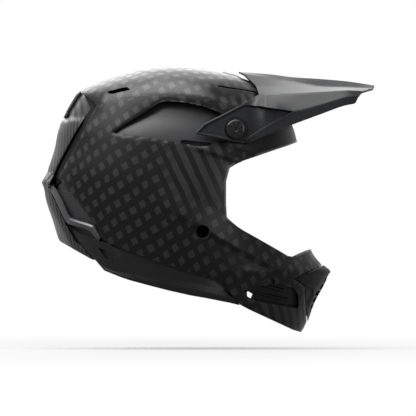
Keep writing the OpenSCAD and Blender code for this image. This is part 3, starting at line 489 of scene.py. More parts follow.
def feed(tree, node, inputs):
    # a socket is linked to the input of its key, anything else becomes that input's value
    for key, value in inputs.items():
        if isinstance(value, bpy.types.NodeSocket):
            tree.links.new(value, node.inputs[key])
        else:
            node.inputs[key].default_value = value


def nodeOf(tree, kind, inputs=None, **props):
    # new node with its properties set and its inputs fed
    n = tree.nodes.new(kind)
    for k, v in props.items():
        setattr(n, k, v)
    feed(tree, n, inputs or {})
    return n


def mathOf(tree, op, a, b=None):
    # result of one Math node on a, or on a and b
    inputs = {0: a} if b is None else {0: a, 1: b}
    return nodeOf(tree, "ShaderNodeMath", inputs, operation=op).outputs[0]


def plus(tree, a, b):
    return mathOf(tree, "ADD", a, b)


def minus(tree, a, b):
    return mathOf(tree, "SUBTRACT", a, b)


def times(tree, a, b):
    return mathOf(tree, "MULTIPLY", a, b)


def mixOf(tree, fac, a, b):
    # a * (1 - fac) + b * fac
    n = nodeOf(tree, "ShaderNodeMix", data_type="RGBA")
    keys = {s.name: i for i, s in enumerate(n.inputs) if s.enabled}
    feed(tree, n, {keys["Factor"]: fac, keys["A"]: a, keys["B"]: b})
    return [s for s in n.outputs if s.enabled][0]


def spreadOf(tree, v, a0, a1, b0=0.0, b1=1.0):
    # a0..a1 spread over b0..b1
    ends = {"Value": v, "From Min": a0, "From Max": a1, "To Min": b0, "To Max": b1}
    return nodeOf(tree, "ShaderNodeMapRange", ends).outputs[0]


def noiseOf(tree, vector, scale, detail, rough=0.5):
    # smooth noise of 0..1 with scale cells per unit
    inputs = {"Vector": vector, "Scale": scale, "Detail": detail, "Roughness": rough}
    return nodeOf(tree, "ShaderNodeTexNoise", inputs).outputs["Fac"]


def partsOf(tree, vector):
    # x, y and z of a vector
    return nodeOf(tree, "ShaderNodeSeparateXYZ", {"Vector": vector}).outputs


def makeGroup(name, ins, outs, build):
    # ins is {socket name: start value, or None for a vector}, outs lists the names of the results
    if name in groupStore:
        return groupStore[name]
    g = bpy.data.node_groups.new(name, "ShaderNodeTree")
    for key, value in ins.items():
        kind = "NodeSocketVector" if value is None else "NodeSocketFloat"
        socket = g.interface.new_socket(key, in_out="INPUT", socket_type=kind)
        if value is not None:
            socket.default_value = value
    for key in outs:
        g.interface.new_socket(key, in_out="OUTPUT", socket_type="NodeSocketFloat")
    gi, go = g.nodes.new("NodeGroupInput"), g.nodes.new("NodeGroupOutput")
    for key, sock in build(g, gi.outputs).items():
        g.links.new(sock, go.inputs[key])
    groupStore[name] = g
    return g


def useGroup(tree, group, inputs):
    # results of a node group fed with inputs
    return nodeOf(tree, "ShaderNodeGroup", inputs, node_tree=group).outputs


# noise scales of the colour drift and the rubbed patches, where a patch starts and is full
mottleLook = {"drift": 14.0, "rub": 55.0, "worn": (0.56, 0.72), "tone": (0.9, 1.1)}


def buildMottle(g, i):
    # slow colour drift, fine pits and rubbed patches, from noise at three sizes
    slow = noiseOf(g, i["Vector"], mottleLook["drift"], 3.0)
    fine = noiseOf(g, i["Vector"], i["Grain"], 2.0, 0.6)
    rub = noiseOf(g, i["Vector"], mottleLook["rub"], 6.0, 0.7)
    return {"Tone": spreadOf(g, slow, 0.3, 0.7, *mottleLook["tone"]), "Pits": fine,
            "Rub": spreadOf(g, rub, *mottleLook["worn"])}


# shares of a cell where a light tow starts and is full, the lines' wander, fibres along and across a tow
towLook = {"wide": (0.225, 0.28), "long": (0.205, 0.26), "wanderSize": 0.035, "wander": 0.5,
           "wanderOther": 0.6, "fibres": 26.0, "stretch": 1.5}


def buildCarbon(g, i):
    # spread tows: light squares on a slanted lattice, joined into stripes where Join is 1
    # p = (s By - t Bx) / det and q = (t Ax - s Ay) / det, with det = Ax By - Ay Bx
    s, t = partsOf(g, i["Layup"])[:2]
    ax, ay, bx, by = i["Ax"], i["Ay"], i["Bx"], i["By"]
    det = minus(g, times(g, ax, by), times(g, ay, bx))
    p = mathOf(g, "DIVIDE", minus(g, times(g, s, by), times(g, t, bx)), det)
    q = mathOf(g, "DIVIDE", minus(g, times(g, t, ax), times(g, s, ay)), det)
    wob = times(g, minus(g, noiseOf(g, i["Layup"], towLook["wanderSize"], 2.0), 0.5), towLook["wander"])
    p, q = plus(g, p, wob), plus(g, q, times(g, wob, towLook["wanderOther"]))
    inP = spreadOf(g, mathOf(g, "PINGPONG", plus(g, p, 100.0), 0.5), *towLook["wide"])
    inQ = spreadOf(g, mathOf(g, "PINGPONG", plus(g, q, 100.0), 0.5), *towLook["long"])
    light = times(g, mathOf(g, "MAXIMUM", inP, i["Join"]), inQ)
    strand = []
    many, few = towLook["fibres"], towLook["stretch"]
    for acrossQ, acrossP, layer, share in ((many, few, 0.0, light), (few, many, 3.0, minus(g, 1.0, light))):
        at = {0: times(g, q, acrossQ), 1: times(g, p, acrossP), 2: layer}
        fibre = noiseOf(g, nodeOf(g, "ShaderNodeCombineXYZ", at).outputs[0], 1.0, 3.0)
        strand.append(times(g, fibre, share))
    return {"Light": light, "Strand": plus(g, *strand)}


def buildBeads(g, i):
    # packed foam beads about 3 mm across, dished between
    where = {"Vector": i["Vector"], "Scale": i["Size"], "Randomness": 0.8}
    cell = nodeOf(g, "ShaderNodeTexVoronoi", where).outputs["Color"]
    edge = nodeOf(g, "ShaderNodeTexVoronoi", where, feature="DISTANCE_TO_EDGE").outputs["Distance"]
    shade = nodeOf(g, "ShaderNodeSeparateColor", {"Color": cell}).outputs[0]
    return {"Tone": spreadOf(g, shade, 0, 1, 0.78, 1.2), "Height": spreadOf(g, edge, 0.0, 0.12)}


def buildWeave(g, i):
    # two crossed sets of threads: height = |sin((x + z) k)| * |sin((y - z) k)|, and half as much fuzz; the
    # tone follows the height, painted shade darker where the threads sink
    x, y, z = partsOf(g, i["Vector"])
    warp, weft = (mathOf(g, "ABSOLUTE", mathOf(g, "SINE", times(g, way, i["Threads"])))
                  for way in (plus(g, x, z), minus(g, y, z)))
    h = times(g, warp, weft)
    fuzz = noiseOf(g, i["Vector"], 900.0, 2.0)
    return {"Height": plus(g, h, times(g, fuzz, 0.5)), "Tone": spreadOf(g, h, 0, 1, 0.75, 1.15)}


def mottleOf(tree, vector, grain):
    # tone, pits and rubbed patches at a place
    group = makeGroup("surfaceMottle", {"Vector": None, "Grain": 900.0}, ["Tone", "Pits", "Rub"],
                      buildMottle)
    return useGroup(tree, group, {"Vector": vector, "Grain": grain})


def startMaterial(name):
    # material, its tree, its shader and the place on the piece
    m = bpy.data.materials.new(name)
    m.use_nodes = True
    t = m.node_tree
    return m, t, t.nodes["Principled BSDF"], t.nodes.new("ShaderNodeTexCoord").outputs["Object"]


def scaleColour(tree, colour, tone):
    # colour * tone
    return nodeOf(tree, "ShaderNodeVectorMath", {0: colour, "Scale": tone}, operation="SCALE").outputs[0]


def bumpOf(tree, shader, height, strength, distance=0.0004):
    # the shader's normal bent by a height, distance metres deep
    n = nodeOf(tree, "ShaderNodeBump", {"Height": height, "Strength": strength, "Distance": distance})
    feed(tree, shader, {"Normal": n.outputs[0]})


def plasticFinish(name, colour, rough, grain, bump, spec=0.4, coat=0.0, coatRough=0.1, metal=0.0):
    # moulded or painted: drifted tone, faint rubbed patches, roughness = rough - 0.06 + 0.12 pits + rub
    m, t, b, v = startMaterial(name)
    g = mottleOf(t, v, grain)
    rub = times(t, g["Rub"], 0.04)
    feed(t, b, {"Base Color": mixOf(t, rub, scaleColour(t, colour, g["Tone"]), wornTone),
                "Roughness": plus(t, times(t, g["Pits"], 0.12), plus(t, rub, rough - 0.06)),
                "Specular IOR Level": spec, "Coat Weight": coat, "Coat Roughness": coatRough,
                "Metallic": metal})
    bumpOf(t, b, g["Pits"], bump)
    return m


# painted shade of the visor on the brow: where it starts in x and z, in metres, and how much of its light
# tows it takes away
browShadePaint = {"front": 0.084, "low": 0.03, "high": 0.092, "share": 0.9}


def carbonFinish(name, dark, light, lattice, join, rough, spec, coat, coatRough):
    # clear lacquer over woven tows laid by the piece's own layup lines, with painted shade of the visor on
    # the brow
    m, t, b, v = startMaterial(name)
    lay = nodeOf(t, "ShaderNodeAttribute", attribute_name="layup").outputs["Vector"]
    if join is None:
        join = nodeOf(t, "ShaderNodeAttribute", attribute_name="join").outputs["Fac"]
    start = {"Layup": None, "Ax": 1.0, "Ay": 0.0, "Bx": 0.0, "By": 1.0, "Join": 0.0}
    group = makeGroup("towWeave", start, ["Light", "Strand"], buildCarbon)
    c = useGroup(t, group, {"Layup": lay, "Join": join, **dict(zip(("Ax", "Ay", "Bx", "By"), lattice))})
    g = mottleOf(t, v, 700.0)
    mask = times(t, c["Light"], spreadOf(t, c["Strand"], 0.3, 0.7, 0.65, 1.0))
    # painted shade: the brow under the visor loses nearly all its light tows, standing in for the visor's
    # shade
    part = partsOf(t, v)
    brow = times(t, mathOf(t, "GREATER_THAN", part["X"], browShadePaint["front"]),
                 mathOf(t, "GREATER_THAN", part["Z"], browShadePaint["low"]))
    brow = times(t, brow, mathOf(t, "LESS_THAN", part["Z"], browShadePaint["high"]))
    mask = times(t, mask, minus(t, 1.0, times(t, brow, browShadePaint["share"])))
    dim = times(t, g["Tone"], spreadOf(t, c["Strand"], 0.3, 0.7, 0.85, 1.12))
    feed(t, b, {"Base Color": scaleColour(t, mixOf(t, mask, (*dark, 1), (*light, 1)), dim),
                "Roughness": plus(t, times(t, mask, -0.08), plus(t, times(t, g["Pits"], 0.08), rough)),
                "Specular IOR Level": spec, "Coat Weight": coat, "Coat Roughness": coatRough})
    bumpOf(t, b, plus(t, times(t, c["Strand"], 0.5), times(t, g["Pits"], 0.25)), 0.12)
    return m


def foamFinish(name, colour, size=330.0):
    # beaded foam, each bead a little lighter or darker
    m, t, b, v = startMaterial(name)
    group = makeGroup("foamBeads", {"Vector": None, "Size": 330.0}, ["Tone", "Height"], buildBeads)
    g = useGroup(t, group, {"Vector": v, "Size": size})
    feed(t, b, {"Base Color": scaleColour(t, colour, g["Tone"]), "Roughness": 0.72,
                "Specular IOR Level": 0.25})
    bumpOf(t, b, g["Height"], 0.5, 0.0006)
    return m


def clothFinish(name, colour, threads=5200.0, bump=0.6, sheen=0.3):
    # woven or brushed cloth with raised threads
    m, t, b, v = startMaterial(name)
    group = makeGroup("threadWeave", {"Vector": None, "Threads": 5200.0}, ["Tone", "Height"], buildWeave)
    g = useGroup(t, group, {"Vector": v, "Threads": threads})
    # the weave's tone holds painted shade in the threads' dips, the mottle's tone drifts at random
    tone = times(t, g["Tone"], mottleOf(t, v, 1200.0)["Tone"])
    feed(t, b, {"Base Color": scaleColour(t, colour, tone), "Roughness": 0.85, "Specular IOR Level": 0.2,
                "Sheen Weight": sheen})
    bumpOf(t, b, g["Height"], bump, 0.0005)
    return m


# colour, roughness, grain, bump, specular level, coat, coat roughness, metal
plastics = {
    "skirtSatin": ((0.0028, 0.0026, 0.003), 0.42, 1100.0, 0.2, 0.14),
    "trimBlack": ((0.0028, 0.0026, 0.003), 0.46, 1100.0, 0.25, 0.075),
    "frameGrey": ((0.012, 0.012, 0.0135), 0.4, 1000.0, 0.2, 0.3),
    "panelSatin": ((0.0045, 0.0047, 0.0053), 0.4, 1300.0, 0.1, 0.24),
    "visorSatin": ((0.0045, 0.0047, 0.0052), 0.42, 1200.0, 0.12, 0.085),
    "glossBlack": ((0.005, 0.005, 0.0055), 0.2, 400.0, 0.03, 0.12, 0.05, 0.06),
    "deepBlack": ((0.0025, 0.0025, 0.003), 0.75, 900.0, 0.2, 0.05),
    "filterMesh": ((0.004, 0.004, 0.0045), 0.75, 900.0, 0.5, 0.06),
    "beadRubber": ((0.02, 0.02, 0.022), 0.38, 1400.0, 0.2),
    "ringMetal": ((0.42, 0.43, 0.45), 0.3, 1500.0, 0.1, 0.4, 0.0, 0.1, 1.0),
    "brassMetal": ((0.5, 0.38, 0.16), 0.35, 1500.0, 0.1, 0.4, 0.0, 0.1, 1.0),
    "anchorRubber": ((0.5, 0.4, 0.05), 0.5, 1100.0, 0.2)}
finishes = {name: plasticFinish(name, *row) for name, row in plastics.items()}
finishes["carbon"] = carbonFinish("wovenCarbon", (0.0013, 0.0013, 0.0016), (0.013, 0.0123, 0.012),
                                  (6.6, -14.0, 10.98, 6.83), None, 0.36, 0.085, 0.03, 0.25)
finishes["tailCarbon"] = carbonFinish("tailCarbon", (0.005, 0.0048, 0.005), (0.02, 0.0188, 0.0188),
                                      (1.2, -14.0, 6.6, 0.6), 1.0, 0.4, 0.09, 0.05, 0.3)
finishes["foam"] = foamFinish("linerFoam", (0.008, 0.008, 0.009))
finishes["slipFoam"] = foamFinish("slipFoam", (0.045, 0.05, 0.046), 420.0)
finishes["padCloth"] = clothFinish("padCloth", (0.012, 0.012, 0.014))
finishes["webbing"] = clothFinish("webbing", (0.012, 0.012, 0.013), 3000.0, 0.9, 0.15)
print("stage: finishes made")

# outer shell
shellPiece = {
    "around": 520, "down": 190, "crestHigh": 3.4, "creaseHigh": 4.6, "ledgeHigh": 3.4, "dentDeep": 2.8,
    "hoodHigh": 0.1, "finHigh": 1.8, "finHalf": 15.0,
    "rims": {"keep": 2.2, "intake": 2.6, "gill": 2.0, "upperVent": 1.6, "lowerVent": 1.6},
    "keep": [(79, 60), (79, 89.5), (97.5, 106), (94, 112), (80, 138), (58.5, 177.5), (70, 191.5),
             (81.2, 205.2), (94, 222), (101.3, 237.2), (110, 243.6), (150, 258.5), (180, 268.5), (190, 272),
             (200.3, 275.3), (221.6, 281.2), (239.7, 304.1), (249.9, 309.5), (267, 317.5), (293, 329.7),
             (301, 332.1), (303.7, 328.2), (306.5, 321.4), (305.9, 308.4), (304.7, 286.8), (301.3, 284),
             (293.6, 278.6), (307.4, 271.5), (321.9, 265.2), (335, 259), (335, 60)],
    "eye": [(226, 216), (226, 170), (240.5, 161.5), (254, 156.9), (266, 152.8), (277.5, 148.9),
            (287.5, 145.7), (297.8, 141.8), (345, 122), (345, 236), (310.4, 249.4), (307.6, 249.8),
            (298, 254), (290.8, 257.7), (280.3, 251.3), (254, 236.3), (239.7, 228.4), (229, 219.6)],
    "intake": [(112.9, 132.8), (131, 121.2), (150, 109.5), (160, 102.8), (166, 101.6), (183.3, 102.5),
               (196.7, 105.2), (208.7, 108.4), (222, 114.5), (233, 121), (239, 128), (236, 138),
               (220, 141.4), (211.3, 144.6), (203.3, 147.3), (190, 145.2), (168, 141.4), (146, 138.1),
               (115.3, 133.6)],
    "topVent": [(107, 92.3), (112, 90.9), (118, 89.4), (124, 88), (128, 87.6), (131, 90.4), (126, 91.6),
                (121, 92.6), (116, 93.8), (111.6, 94.8)],
    "gill": [(257, 286.2), (262, 285.2), (272, 283.5), (277, 283.2), (283, 284.6), (297.3, 289.2),
             (299, 309.2), (290, 307.4), (262, 302), (249.6, 298.6)],
    "upperVent": [(257.9, 281.2), (264.6, 278.8), (271.7, 276.6), (275.7, 282.8), (270.7, 284.4),
                  (259.6, 281.8)],
    "lowerVent": [(241.9, 288.7), (249.3, 291.3), (257, 297.7), (253.6, 299), (249.6, 298.4),
                  (246.1, 295.4)],
    "crest": [(92, 109), (98, 105.2), (110, 102.2), (130, 98.2), (150, 95.7), (170, 94.7), (190, 96.3),
              (210, 99.4), (226, 103), (246, 110)],
    "crease": [(150, 200.4), (155.9, 203), (172, 211), (190, 221), (208, 231.4), (226.9, 242.8), (246, 253),
               (270.7, 266.8), (293, 278.5), (304, 285)],
    "ledge": [(184, 146), (200, 150), (220, 155.6), (238, 161.5), (262, 168)],
    "hood": [(218, 86.3), (238, 89.5), (257, 92.5), (253, 85.5), (238.6, 76.8), (224.7, 70.2),
             (222.5, 73.6)],
    "dent": [(213, 92.5), (221, 96), (232, 99.4), (243, 103.6)],
    "slit": [(217.4, 86.4), (217.8, 85.7), (238, 89.0), (257, 92.0), (259.4, 93.6), (257, 93.2),
             (238, 90.3), (218, 87.2)]}
shellLines = {k: sideMm(roundLine(shellPiece[k], 2.0)) for k in ("crest", "crease", "ledge", "dent")}
shellEdges = {k: sideMm(roundLine(shellPiece[k], 3.0, 1, True)[:-1])
              for k in ("eye", "intake", "topVent", "gill", "upperVent", "lowerVent", "hood")}
shellEdges["keep"] = sideMm(shellPiece["keep"])
shellEdges["slit"] = sideMm(shellPiece["slit"])


def rolled(x, z, outline, width, depth=0.45):
    # a rim rolled inward: depth * width * (1 - distance / width)^2
    e = np.abs(insideDistance(x, z, outline))
    return depth * width * np.maximum(0, 1 - e / width) ** 2


def ridge(d, above, below):
    # 1 on the line, falling to 0 at a distance on each side of it
    return np.where(d > 0, np.maximum(0, 1 - d / above), np.maximum(0, 1 + d / below))


def shellRelief(x, z, y):
    # ridges stand out by height * (1 - distance / width) on each side of their line, edges are rolled inward
    s = lineDistance(x, z, shellLines["crest"])
    fade = smoothStep(-88, -70, x) * (1 - smoothStep(35, 75, x)) * smoothStep(20, 45, np.abs(y))
    rise = ridge(s, 24, 30)
    h = fade * shellPiece["crestHigh"] * np.where(s > 0, rise, rise ** 1.6)
    c = lineDistance(x, z, shellLines["crease"])
    run = smoothStep(-18, 24, x) * (1 - smoothStep(142, 150, x))
    rise = ridge(c, 26, 3.6)
    h += run * shellPiece["creaseHigh"] * np.where(c > 0, rise ** 1.25, rise)
    b = lineDistance(x, z, shellLines["ledge"])
    run = smoothStep(16, 45, x) * (1 - smoothStep(96, 110, x))
    h += run * shellPiece["ledgeHigh"] * ridge(b, 13, 3.0)
    d = lineDistance(x, z, shellLines["dent"])
    run = smoothStep(44, 60, x) * (1 - smoothStep(80, 92, x))
    h -= shellPiece["dentDeep"] * np.exp(-(d / 6.0) ** 2) * run
    hood = insideDistance(x, z, shellEdges["hood"])
    fin = shellPiece["finHigh"] * np.exp(-(y / shellPiece["finHalf"]) ** 4)
    h += (fin + shellPiece["hoodHigh"]) * smoothStep(-0.6, 1.0, hood)
    for key, width in shellPiece["rims"].items():
        h -= rolled(x, z, shellEdges[key], width)
    return h


def layupOf(points):
    # s runs round the shell from its widest line, t is the height; the crown is laid flat from above
    x, y, z = points[:, 0], points[:, 1], points[:, 2]
    u = formRowAt(z)
    r = formRow(u)
    d = sheetX(x) - r[:, 1]
    reach = np.where(d >= 0, r[:, 2] - r[:, 1], r[:, 1] - r[:, 3]) * sheet["unit"]
    q = np.clip(np.abs(d * sheet["unit"]) / np.maximum(reach, 1e-3), 0, 1)
    w = np.maximum(r[:, 4], 1)
    arc = reach * q * (1 + 0.35 * q ** 4 * np.minimum(2.0, w / np.maximum(reach, 1)))
    s = np.sign(d) * arc + mmX(r[:, 1])
    crown = lineDistance(x, z, shellLines["crest"]) > 0
    s = np.where(crown, x, s)
    t = np.where(crown, 185 - np.abs(y), z)
    return np.stack([s, t, np.zeros_like(s)], -1)


def storeLayup(ob, join=None):
    # the layup lines and the share of joined tows, kept on the mesh's vertices for its finish
    me = ob.data
    p = meshPoints(me)
    a = me.attributes.new("layup", "FLOAT_VECTOR", "POINT")
    a.data.foreach_set("vector", layupOf(p).astype(np.float32).ravel())
    j = np.zeros(len(p)) if join is None else join(p)
    b = me.attributes.new("join", "FLOAT", "POINT")
    b.data.foreach_set("value", j.astype(np.float32))


def stripeZone(p):
    # the squares join into stripes towards the upper front of the side, and on the lower chin
    x, z = p[:, 0], p[:, 2]
    a = smoothStep(-20, 15, x) * (1 - smoothStep(55, 62, x)) * smoothStep(-30, 15,
            z) * (1 - smoothStep(52, 60, z))
    return np.maximum(a, smoothStep(95, 100, x) * (1 - smoothStep(-118, -112, z)))


shell = place("shell", loftMesh("shell", shellRelief, shellPiece["around"], shellPiece["down"]))
inner = loftMesh("shellInner", -shellForm["wall"], 140, 70)
openEdges = [shellEdges[key] for key in ("eye", "intake", "topVent", "gill", "upperVent", "lowerVent",
                                         "slit")]
portMm = sideMm([202.6, 231.6])
openEdges.append(discAt(portMm, 8.0))
carve(shell, [("INTERSECT", prismMesh("keep", shellEdges["keep"]))]
      + cut(inner, *(prismMesh("opening", edge) for edge in openEdges)))
storeLayup(shell, stripeZone)
finishPiece(shell, "outer_shell", "carbon")
print("stage: shell")


def growOutline(outline, grow):
    # each corner moved out along the mean of its two edge normals
    p = np.asarray(outline, float)
    e = np.roll(p, -1, 0) - p
    n = unitRows(np.stack([e[:, 1], -e[:, 0]], -1))
    if (p[:, 0] * np.roll(p[:, 1], -1) - np.roll(p[:, 0], -1) * p[:, 1]).sum() < 0:
        n = -n
    m = n + np.roll(n, 1, 0)
    m = m / np.maximum((m * n).sum(1), 0.6)[:, None]
    return p + m * grow


def skinPiece(name, spread, grid, outline, outer, inner, cuts=(), ySpan=(-200.0, 200.0)):
    # part of the form's wall inside a side view outline
    ob = place(name, formPatch(name, spread, grid, outer, inner))
    keep = [("INTERSECT", prismMesh("outline", outline, *ySpan))]
    return carve(ob, keep + cut(*(prismMesh("cut", c) for c in cuts)))


def bothSides(ob, stem, node, finish, sharp=35, body="helmet", shared=False):
    # the right-hand piece and its mirror image, each standing for its own node or both for one
    ob.name = ob.data.name = stem + "Right"
    for half, word in ((ob, "_right"), (mirrored(ob, stem + "Left"), "_left")):
        finishPiece(half, node if shared else node + word, finish, sharp, body)


rightHalf = (-200.0, -0.3)
print("stage: helpers")

# tail and its trim
tailPiece = {
    "outline": [(82.8, 89.4), (86.4, 100), (91, 109.4), (85.6, 117), (80, 126), (75.6, 133), (67.1, 148.6),
                (60.2, 161.4), (54.4, 174), (48.2, 187), (58.8, 208.6), (66, 224), (75.2, 240.6),
                (95.6, 260.6), (89.7, 257.8), (58.3, 240.2), (25, 222), (25, 180), (36, 140), (52, 100),
                (70, 84)],
    "strip": [(80.6, 90.2), (74, 92), (60, 108), (58, 116), (62.6, 117.4), (64.6, 118.2), (66.4, 117.4),
              (68.6, 115), (72, 111.2), (76, 106.4), (79, 102.4), (82.6, 96)],
    "ridge": [(30, 180), (42, 184), (52, 205), (62, 224), (70.5, 240.4), (76, 250)],
    "beak": 5.4, "ridgeHigh": 2.2, "topLow": 3.0, "lip": 0.9, "facetHigh": 1.4, "stripHalf": 23.0,
    "beakZ": 14.0, "beakReach": 12.0, "ridgeWide": (14, 7), "topZ": (80, 90), "inside": -3.4,
    "bed": [(97, 105), (99, 112), (94.5, 115), (91, 124), (86, 134), (80, 146), (73, 158), (66.5, 171),
            (62, 181), (55, 187), (46, 189), (46, 184), (52, 172), (58, 159), (65, 146.6), (73, 131),
            (78, 124), (84, 114.6), (90, 106.5), (84.5, 99), (80.5, 88), (84, 88), (91, 97)],
    "frame": [(52.6, 183.2), (58, 191.4), (63.8, 202.4), (68.6, 213.6), (71.4, 217.4), (79, 220.4),
              (87.6, 223), (94.4, 225.4), (97.8, 231.4), (101.1, 237.8), (99.2, 240.4), (94.6, 235.6),
              (91.4, 231.6), (85.4, 228.6), (76.6, 226.2), (69, 224.2), (65.4, 220.4), (59.4, 208),
              (54.2, 197), (48.8, 187)],
    "facet": [(70.4, 218.2), (79, 221), (87.6, 223.6), (94, 226), (97.4, 231.6), (100.6, 237.6), (96, 235),
              (92, 230.4), (85, 227.4), (76, 225), (69.8, 223)]}
tailEdge = sideMm(tailPiece["outline"])
tailRidge = sideMm(roundLine(tailPiece["ridge"], 3.0, 1))


def lowered(z):
    # how far the tail's top lies under the form
    return tailPiece["topLow"] * smoothStep(*tailPiece["topZ"], z)


def tailRelief(x, z, y):
    # beak = height * (1 - |z - beakZ| / beakReach)^1.15; a ridge runs down from it; the top is held low
    h = tailPiece["beak"] * np.maximum(0, 1 - np.abs(z - tailPiece["beakZ"]) / tailPiece["beakReach"]) ** 1.15
    d = lineDistance(x, z, tailRidge)
    h += tailPiece["ridgeHigh"] * ridge(d, *tailPiece["ridgeWide"]) * (1 - smoothStep(0, 12, z))
    return h - lowered(z) - rolled(x, z, tailEdge, 2.0)


def tailInside(x, z, y):
    # the inner face's offset, lower where the top is held low
    return tailPiece["inside"] - lowered(z)


stripGroove = {"pitch": 7.6, "wide": 4.6, "deep": 1.0, "flat": -0.2}


def stripRelief(x, z, y):
    # grooves across, each where |(|y| mod pitch) - pitch / 2| < wide / 2
    inside = np.abs((np.abs(y) % stripGroove["pitch"]) - stripGroove["pitch"] / 2) < stripGroove["wide"] / 2
    return stripGroove["flat"] - stripGroove["deep"] * inside


tail = skinPiece("tailPanel", (math.pi - 1.3, math.pi + 1.3, 4.4, 16.6), (330, 230), tailEdge, tailRelief,
                 tailInside)
storeLayup(tail)
finishPiece(tail, "tail_panel", "tailCarbon")
half = tailPiece["stripHalf"]
strip = skinPiece("exhaustStrip", (math.pi - 0.5, math.pi + 0.5, 4.4, 10.5), (120, 90),
                  sideMm(tailPiece["strip"]), stripRelief, behind, [], (-half, half))
finishPiece(strip, "exhaust_strip", "trimBlack")
bed = skinPiece("slotBed", (math.pi - 1.45, math.pi + 1.45, 4.4, 12.6), (240, 150),
                sideMm(tailPiece["bed"]), -3.4, seat)
finishPiece(bed, "slot_bed", "deepBlack")
frameEdge, facetEdge = sideMm(tailPiece["frame"]), sideMm(tailPiece["facet"])


def frameRelief(x, z, y):
    # the lip stands a little over the form, its lower facet leans out
    h = tailPiece["lip"] - rolled(x, z, frameEdge, 1.4, 0.5)
    return h + tailPiece["facetHigh"] * smoothStep(-0.4, 1.2, insideDistance(x, z, facetEdge))


vent = skinPiece("ventFrameRight", (math.pi + 0.2, math.pi + 1.35, 10.8, 14.4), (220, 160), frameEdge,
                 frameRelief, seat, [], rightHalf)
bothSides(vent, "ventFrame", "vent_frame", "frameGrey")
print("stage: tail")

# intake panels
panelPiece = {"low": 4.6, "high": 7.4, "wall": 2.4, "grow": 4.0,
              "slot": [(180.4, 141.6), (183, 140.2), (212, 143.4), (208.4, 146.4), (203.5, 147.6),
                       (190, 145.4), (181, 144)]}
panelEdge = growOutline(shellEdges["intake"], panelPiece["grow"])
panelLow = sideMm([(100, 131), (113, 133.4), (176.7, 142.7), (205, 148), (240, 154)])


def panelDrop(x, z, y):
    # the panel leans: shallow at its lower edge, deep under the shell's upper edge
    d = lineDistance(x, z, panelLow)
    return -(panelPiece["low"] + (panelPiece["high"] - panelPiece["low"]) * smoothStep(0, 34, d))


def panelInside(x, z, y):
    # one wall's thickness under the front
    return panelDrop(x, z, y) - panelPiece["wall"]


screwMm = sideMm([235.6, 129.7])
panel = skinPiece("intakePanelRight", (math.pi + 0.25, 2 * math.pi - 0.3, 6.4, 10.9), (200, 90), panelEdge,
                  panelDrop, panelInside, [discAt(screwMm, 13.7), sideMm(panelPiece["slot"])], rightHalf)
bothSides(panel, "intakePanel", "intake_panel", "panelSatin")

# skirts
skirtPiece = {
    "outline": [(67, 224.2), (74, 229.6), (81, 233.4), (94, 238.4), (110, 244), (130, 251.4), (150, 258.9),
                (170, 265.6), (190, 272.4), (206, 277), (221.3, 281.6), (231, 293.2), (239.4, 304),
                (238.9, 304.6), (230, 302.4), (220, 300.4), (206, 297.6), (190, 294.8), (168.7, 290),
                (150, 285.2), (130.3, 279.9), (120.7, 276.7), (104.7, 270.3), (96, 260), (85, 249),
                (76, 240)],
    "vent": [(99, 247.6), (104, 249.4), (110.5, 252.6), (115.3, 257.3), (114.3, 259.8), (106.8, 258.2),
             (103, 253.6), (100, 249.5)],
    "bevel": [(96, 262), (112, 270.6), (130.3, 273.5), (150, 277.7), (180, 286), (200, 290.3), (220, 295),
              (231, 296.7), (242, 300)],
    "crease": [(104, 238), (108.4, 243.6), (116, 255), (123.9, 267), (130.3, 273.5)],
    "seam": [(67, 224.2), (94, 238.4), (110, 244), (150, 258.9), (190, 272.4), (221.3, 281.6),
             (239.4, 304)],
    "sunk": 3.0, "groove": 1.7, "creaseHigh": 1.1, "turn": 0.55}
skirtEdge = sideMm(skirtPiece["outline"])
skirtLines = {k: sideMm(roundLine(skirtPiece[k], 3.0, 1)) for k in ("bevel", "crease", "seam")}


def skirtRelief(x, z, y):
    # below the bevel line the wall turns inward by a share of the distance; a crease parts the rear
    d = lineDistance(x, z, skirtLines["bevel"])
    c = lineDistance(x, z, skirtLines["crease"])
    h = -0.8 - skirtPiece["turn"] * np.clip(-d, 0, 8) + 0.5 * np.maximum(0, 1 - np.abs(d) / 2.0)
    seam = np.abs(lineDistance(x, z, skirtLines["seam"]))
    near = np.clip(d / 6.0, 0, 1) * np.maximum(0, 1 - seam / 22.0) * smoothStep(-80, -62, x)
    h -= skirtPiece["sunk"] * near
    h -= skirtPiece["groove"] * np.exp(-seam / 4.0)
    h += skirtPiece["creaseHigh"] * ridge(c, 5, 12) * smoothStep(-8, 0, d + 4)
    return h - rolled(x, z, skirtEdge, 1.2, 0.5)


skirt = skinPiece("skirtRight", (math.pi + 0.3, 2 * math.pi - 0.75, 12.2, 20.2), (330, 150), skirtEdge,
                  skirtRelief, seat, [sideMm(skirtPiece["vent"])], rightHalf)
bothSides(skirt, "skirt", "skirt", "skirtSatin", 28)
print("stage: skirts")

# chin trim
chinPiece = {
    "insert": [(293.8, 278.6), (304, 273.9), (307.2, 272.5), (314, 269.2), (320, 266.4), (324, 264.4),
               (329, 262), (334, 260), (340, 258), (340, 270), (330, 300), (322, 312), (316, 318),
               (313, 322), (308.4, 324), (307.4, 321), (306.3, 308.4), (304.4, 284.6), (294.6, 278.8)],
    "nose": [(293.8, 278.9), (322.7, 265.6), (335, 259.5), (345, 262), (324.3, 276.6), (314.2, 289.2),
             (304.7, 285.5)],
    "cheek": [(305.4, 286.5), (313.2, 289.2), (313.2, 302.4), (310.8, 307.8), (307.2, 308.9)],
    "slatRise": (-14.8, -7.4, 0.0, 7.4, 14.8), "slatHalf": (0.7, 0.85, 1.0, 0.8, 0.6), "slatR": 2.6,
    "half": 17.0, "post": 2.4, "midZ": -110.0,
    "noseHigh": 1.5, "cheekDeep": 1.6}
insertEdge, noseEdge, cheekEdge = (sideMm(chinPiece[k]) for k in ("insert", "nose", "cheek"))


